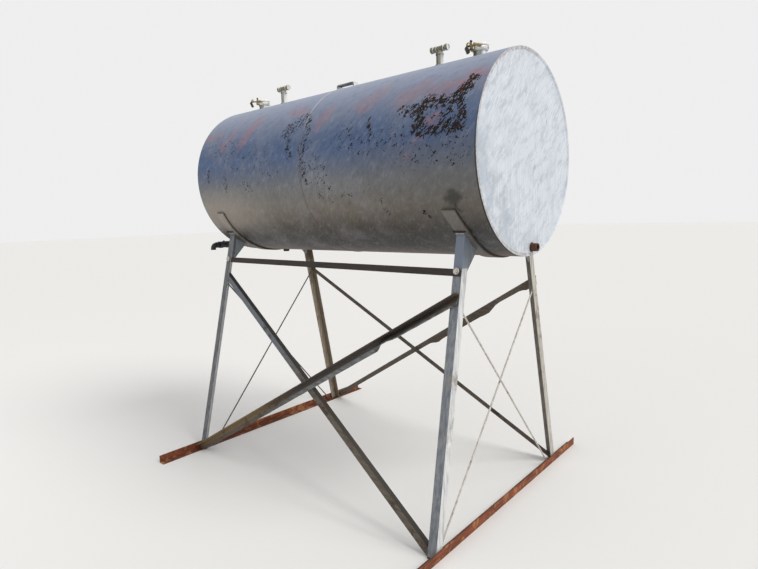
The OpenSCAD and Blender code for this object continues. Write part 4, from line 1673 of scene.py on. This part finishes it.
@dataclass(frozen=True)
class VentTee:
    """A slender pipe tee on a riser, with a threaded nipple and a collar at each open end."""

    which: str
    x: float
    height: float
    drop: float = 0.0365
    run: float = 0.0155
    collar: float = 0.0182
    bore: float = 0.0135
    half: float = 0.0585
    sides: int = 36

    def build(self) -> None:
        """Builds the tee in place of its solid."""
        half, run, collar, foot = self.half, self.run, self.collar, -self.drop
        lip, thread, groove = collar - 0.001, run - 0.001, run - 0.002
        side = (
            (0.0, run), (0.016, run), (0.018, lip), (0.019, collar), (0.029, collar), (0.030, lip),
            (0.031, groove), (0.033, thread), (0.035, groove), (0.037, thread), (0.039, groove),
            (0.041, lip), (0.042, collar), (half - 0.001, collar), (half, lip), (half, self.bore),
            (half - 0.0025, self.bore - 0.0006),
        )
        both = tuple((-along, radius) for along, radius in reversed(side)) + side[1:]
        down = (
            (foot, 0.0222), (foot, 0.0232), (foot + 0.0012, 0.0240), (foot + 0.0100, 0.0240),
            (foot + 0.0115, 0.0225), (foot + 0.0150, 0.0175), (-0.0140, 0.0150), (-0.0080, 0.0135),
        )
        place = (self.x, 0.0, self.height)
        pipes = [Turned(both, place, Axis.X, self.sides), Turned(down, place, Axis.Z, self.sides)]
        tee = Bench.assemble(f"{self.which}_vent_tee", pipes, "tee", "galvanised")
        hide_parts(f"vent_tee_{self.which}")


@dataclass(frozen=True)
class Crown:
    """The fill caps and vent tees on the tank's crown."""

    fittings: tuple[FillCap | VentTee, ...] = (
        FillCap("near", 0.9149, 0.076, 42.0),
        FillCap("far", -0.9981, 0.100, 44.0),
        VentTee("near", 0.6509, 2.6290),
        VentTee("far", -0.7531, 2.6450),
    )

    def build(self) -> None:
        """Builds the caps and tees."""
        for fitting in self.fittings:
            fitting.build()


@dataclass(frozen=True)
class BentAngle:
    """An angle brace with its flanges squeezed together past a crimp, and with dents in its edges.

    The upper edge runs in the plane of the legs' outer faces from start to end, each given as
    the place along the tank and the height. A fold is a place and the squeeze there in degrees,
    and a bulge is a place, its reach and how far the lower edge is pushed out.
    """

    side: int
    folds: tuple[Pair, ...]
    bulges: tuple[Spot, ...]
    coped: float = 2.0
    start: Pair = FAR_FOOT
    end: Pair = NEAR_TOP
    thick: float = 0.0048
    root: float = 0.007
    leg: float = 0.05
    waves: tuple[Spot, ...] = ((0.0010, 37.0, 90.0), (0.0008, 83.0, 0.0))
    foot_y: float = 0.707
    cut_step: float = 0.030

    def fold(self, x: float) -> float:
        """Works out how far the flanges are squeezed together.

        Args:
            x: The place along the tank.

        Returns:
            The squeeze in degrees.
        """
        if x <= self.folds[0][0]:
            return self.folds[0][1]
        for (x0, turn0), (x1, turn1) in zip(self.folds, self.folds[1:]):
            if x <= x1:
                share = (x - x0) / max(x1 - x0, 1e-6)
                share = share * share * (3 - 2 * share)
                return turn0 + (turn1 - turn0) * share
        return self.folds[-1][1]

    def bulge(self, x: float) -> float:
        """Gives how far the lower edge is pushed down and out at a place along the tank."""
        return sum(depth * math.exp(-(((x - middle) / reach) ** 2)) for middle, reach, depth in self.bulges)

    def bend(self, place: Vector) -> Vector:
        """Moves one point of the straight brace to its place on the bent one.

        Args:
            place: The point on the straight brace.

        Returns:
            The point on the bent one.
        """
        out = Vector((0.0, self.side * math.cos(LEAN), math.sin(LEAN)))
        slope = Vector((0.0, -self.side * math.sin(LEAN), math.cos(LEAN)))
        foot = Vector((0.0, self.side * self.foot_y, 0.0))
        rise = self.start[1] / math.cos(LEAN), self.end[1] / math.cos(LEAN)
        along = Vector((self.end[0] - self.start[0], rise[1] - rise[0])).normalized()
        offset = place - foot
        x, up, depth = offset.x - self.start[0], offset.dot(slope) - rise[0], offset.dot(out)
        if place.x > self.coped:
            depth = min(depth, 2 * self.thick)
        run = x * along.x + up * along.y
        down = x * along.y - up * along.x
        web = min(max((down - self.thick) / self.root, 0.0), 1.0)
        turn = math.radians(self.fold(place.x)) * web
        push = self.bulge(place.x) * min(max(down / self.leg, 0.0), 1.0)
        wobble = sum(size * math.sin(by_x * place.x + by_y * down) for size, by_x, by_y in self.waves)
        new_down = down * math.cos(turn) - abs(depth) * math.sin(turn) * web + push
        new_depth = depth * math.cos(turn) + down * math.sin(turn) + push + wobble * web
        new_x = run * along.x + new_down * along.y
        new_up = run * along.y - new_down * along.x
        moved = Vector((self.start[0] + new_x, 0.0, 0.0))
        return foot + moved + slope * (rise[0] + new_up) + out * new_depth

    def build(self, node: str) -> Piece:
        """Bends a merged copy of the straight brace.

        Args:
            node: The straight brace's name.

        Returns:
            The bent brace.
        """
        bent = Bench.open_copy(frame["nodes"][node], "bent_" + node)
        bpy.ops.mesh.dissolve_limited(angle_limit=math.radians(1.0))
        low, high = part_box(node)
        x = low.x + self.cut_step
        while x < high.x - self.cut_step / 2:
            bpy.ops.mesh.select_all(action="SELECT")
            bpy.ops.mesh.bisect(plane_co=(x, 0.0, 0.0), plane_no=(1.0, 0.0, 0.0))
            x += self.cut_step
        Bench.shift(bent, self.bend)
        bpy.ops.mesh.select_all(action="SELECT")
        bpy.ops.mesh.normals_make_consistent(inside=False)
        Bench.clear()
        return bent


@dataclass(frozen=True)
class Bracing:
    """The outer angle braces, bent as years of use left them, and the welds at their ends."""

    left: BentAngle = BentAngle(
        LEFT, ((0.55, 0.0), (0.62, 46.0), (0.70, 26.0), (1.04, 20.0)),
        ((0.60, 0.035, 0.009), (-0.535, 0.012, -0.006)),
    )
    right: BentAngle = BentAngle(
        RIGHT, ((0.12, 44.0), (0.24, 0.0), (0.62, 0.0), (0.76, 50.0), (0.92, 46.0), (0.99, 6.0)),
        ((0.67, 0.035, 0.009), (0.22, 0.03, 0.007)), coped=0.985,
    )
    top_weld: StraightWeld = StraightWeld((1.044, -0.433, 1.290), (1.005, -0.436, 1.268), 0.0030)
    foot_weld: tuple[Spot, Spot] = ((-1.064, 0.703, 0.024), (-1.020, 0.698, 0.050))

    def build(self) -> None:
        """Bends the outer braces and lays the end welds."""
        for brace, node, finish in (
            (self.left, "brace_left_outer", "outer_brace"), (self.right, "brace_right_outer", "dark_brace"),
        ):
            bent = brace.build(node)
            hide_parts(node)
            Bench.hand_over(bent, finish, "weathered_steel", 30.0)
        welds = [self.top_weld]
        for side in SIDES:
            welds.append(StraightWeld(*((x, side * y, z) for x, y, z in self.foot_weld), 0.0035))
        Bench.assemble("brace_welds", welds, "weld", "weathered_steel")


@dataclass(frozen=True)
class Stand:
    """Welds at the legs' tops and feet and at the gussets, and the side rail's bolts."""

    leg_xs: tuple[Pair, ...] = ((0.9901, 1.0409), (-1.0121, -0.9613))
    foot_xs: tuple[Pair, ...] = ((1.0200, 1.0700), (-1.0650, -1.0150))
    gusset_xs: tuple[Pair, ...] = ((1.0400, 1.0372), (-1.0010, -0.9990))
    top: Pair = (0.3765, 1.5880)
    foot: Pair = (0.7065, 0.0062)
    gusset: tuple[Pair, Pair] = ((0.3585, 1.390), (0.3240, 1.545))
    near_bolt: Spot = (1.0164, -0.4150, 1.402)
    far_bolt: Spot = (-1.0036, -0.4080, 1.398)

    @staticmethod
    def pairs(
        xs: tuple[Pair, ...], low: Pair, high: Pair, radius: float, pitch: float = 0.009
    ) -> list[Shape]:
        """Gives the same bead for the near and far legs of both sides.

        Args:
            xs: The bead's ends along the tank, for each end of the tank.
            low: How far out and how high it starts.
            high: How far out and how high it ends.
            radius: Its radius.
            pitch: The step from ripple to ripple.

        Returns:
            The beads.
        """
        return [
            StraightWeld((first, side * low[0], low[1]), (last, side * high[0], high[1]), radius, pitch)
            for first, last in xs
            for side in SIDES
        ]

    def rail_bolts(self) -> None:
        """Models one bolt and copies it to both ends of the side rail."""
        facing = Vector((0.0, -math.cos(LEAN), math.sin(LEAN))).to_track_quat("Z", "Y").to_matrix().to_4x4()
        near = HexBolt().build("rail_bolt_near")
        far = Bench.copy(near, "rail_bolt_far")
        for bolt, place in ((near, self.near_bolt), (far, self.far_bolt)):
            bolt.matrix_world = Matrix.Translation(place) @ facing
            Bench.hand_over(bolt, "bolt", "galvanised")

    def build(self) -> None:
        """Adds the welds, over each leg's top a painted fillet and a dark bead, and the bolts."""
        top, foot = self.top, self.foot
        over = (top[0] + 0.0110, top[1] + 0.0100)
        wide = tuple((low - 0.010, high + 0.014) for low, high in self.leg_xs)
        fillets = self.pairs(self.leg_xs, top, top, 0.0050)
        beads = self.pairs(wide, over, over, 0.0065, 0.0080)
        feet = self.pairs(self.foot_xs, foot, foot, 0.0040)
        gussets = self.pairs(self.gusset_xs, *self.gusset, 0.0030)
        Bench.assemble("leg_top_fillets", fillets, "painted_weld", "stand_paint")
        Bench.assemble("leg_top_welds", beads, "weld", "weathered_steel")
        Bench.assemble("leg_foot_welds", feet, "weld", "rust_red_steel")
        Bench.assemble("gusset_welds", gussets, "painted_weld", "stand_paint")
        self.rail_bolts()


@dataclass(frozen=True)
class Tank:
    """The near strap, and the welds at the saddles, the crown's fittings, the couplings and the lug."""

    axis_height: float = 1.9835
    radius: float = 0.5335
    crown: float = 2.517
    straps: tuple[Pair, ...] = ((0.9949, 1.0709), (-0.9921, -0.9161))
    strap_ends: tuple[Pair, ...] = ((0.4704, 1.7035), (0.4835, 1.7390))
    strap_from: Pair = (59.2, 62.0)
    lean_from: float = 46.0
    lean: float = 0.028
    necks: Pair = (0.9149, -0.9981)
    risers: Pair = (0.6509, -0.7531)
    lug: Pair = (-0.1721, -0.0151)
    lug_half: float = 0.021
    outlet: Spot = (-1.1305, -0.050, 1.496)
    drain: Spot = (1.1995, 0.050, 1.496)
    weld_lift: float = 0.0015

    def lean_end(self, place: Vector) -> Vector:
        """Leans the near strap's free end away from the near head, as it was pulled when it was welded.

        Args:
            place: A point of the strap or its beads.

        Returns:
            The point's new place.
        """
        if place.x < 0.5 or place.y > 0.0:
            return place
        angle = math.degrees(math.atan2(-place.y, self.axis_height - place.z))
        share = min(max((angle - self.lean_from) / (self.strap_from[0] - self.lean_from), 0.0), 1.2)
        return place - Vector((self.lean * share, 0.0, 0.0))

    def near_strap(self) -> None:
        """Trims the near saddle's free ends square and leans the one on the left."""
        node = "saddle_near"
        strap = Bench.open_copy(frame["nodes"][node], "near_strap")
        stop = math.radians(self.strap_from[0])
        for side in SIDES:
            bpy.ops.mesh.select_all(action="SELECT")
            bpy.ops.mesh.bisect(
                plane_co=(0.0, 0.0, self.axis_height), plane_no=(0.0, side * math.cos(stop), math.sin(stop)),
                use_fill=True, clear_outer=True,
            )
        Bench.shift(strap, self.lean_end)
        Bench.seal()
        Bench.clear()
        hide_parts(node)
        Bench.hand_over(strap, "saddle", "shell_paint", 30.0)

    def edge(self, x: float, first: float) -> list[Shape]:
        """Gives the welds down one edge of a strap, from its two ends to the belly."""
        ring = self.radius + self.weld_lift
        return [StrapWeld(x, self.axis_height, ring, side * first, 0.0) for side in SIDES]

    def saddles(self) -> None:
        """Welds the saddles' edges and ends to the shell, the near edge's bead dark as painted shadow of the
        gap.
        """
        rusty, painted = [], []
        for (low, high), (out, height), first in zip(self.straps, self.strap_ends, self.strap_from):
            painted += self.edge(low - 0.001, first)
            # The near edge's bead is dark: painted shadow of the gap between saddle and shell.
            rusty += self.edge(high + 0.001, first)
            for side in SIDES:
                painted.append(StraightWeld((low, side * out, height), (high, side * out, height), 0.0026))
        Bench.assemble("saddle_painted_welds", painted, "dull_weld", "shell_paint", self.lean_end)
        Bench.assemble("saddle_edge_shadow_welds", rusty, "weld", "weathered_steel", self.lean_end)

    def fittings(self) -> None:
        """Welds the necks, risers, couplings and the lug's feet."""
        beads = [RoundWeld((x, 0.0, self.crown - 0.0005), Axis.Z, 0.0375, 0.0045, 5) for x in self.necks]
        beads += [RoundWeld((x, 0.0, self.crown), Axis.Z, 0.0285, 0.0040, 7) for x in self.risers]
        beads.append(RoundWeld(self.outlet, Axis.X, 0.0225, 0.0040, 9))
        height = self.crown + 0.001
        beads += [StraightWeld((x, -self.lug_half, height), (x, self.lug_half, height)) for x in self.lug]
        Bench.assemble("fitting_welds", beads, "painted_weld", "stand_paint")
        drain = RoundWeld(self.drain, Axis.X, 0.0228, 0.0040, 11)
        Bench.assemble("drain_weld", [drain], "rusty", "rusty_iron")

    def build(self) -> None:
        """Shapes the near strap and adds the tank's welds."""
        self.near_strap()
        self.saddles()
        self.fittings()


def main() -> None:
    """Builds the tank's looks, piece by piece."""
    logging.basicConfig(level=logging.INFO, format="%(message)s")
    wardrobe = Wardrobe()
    wardrobe.dress(frame["nodes"])
    Bench.finishes.update(wardrobe.finishes)
    for assembly in (Tank(), Crown(), Stand(), Bracing()):
        assembly.build()
    low, high = cad_box
    Studio().build((low + high) / 2)
    CameraPlace().build()


if __name__ == "__main__":
    main()
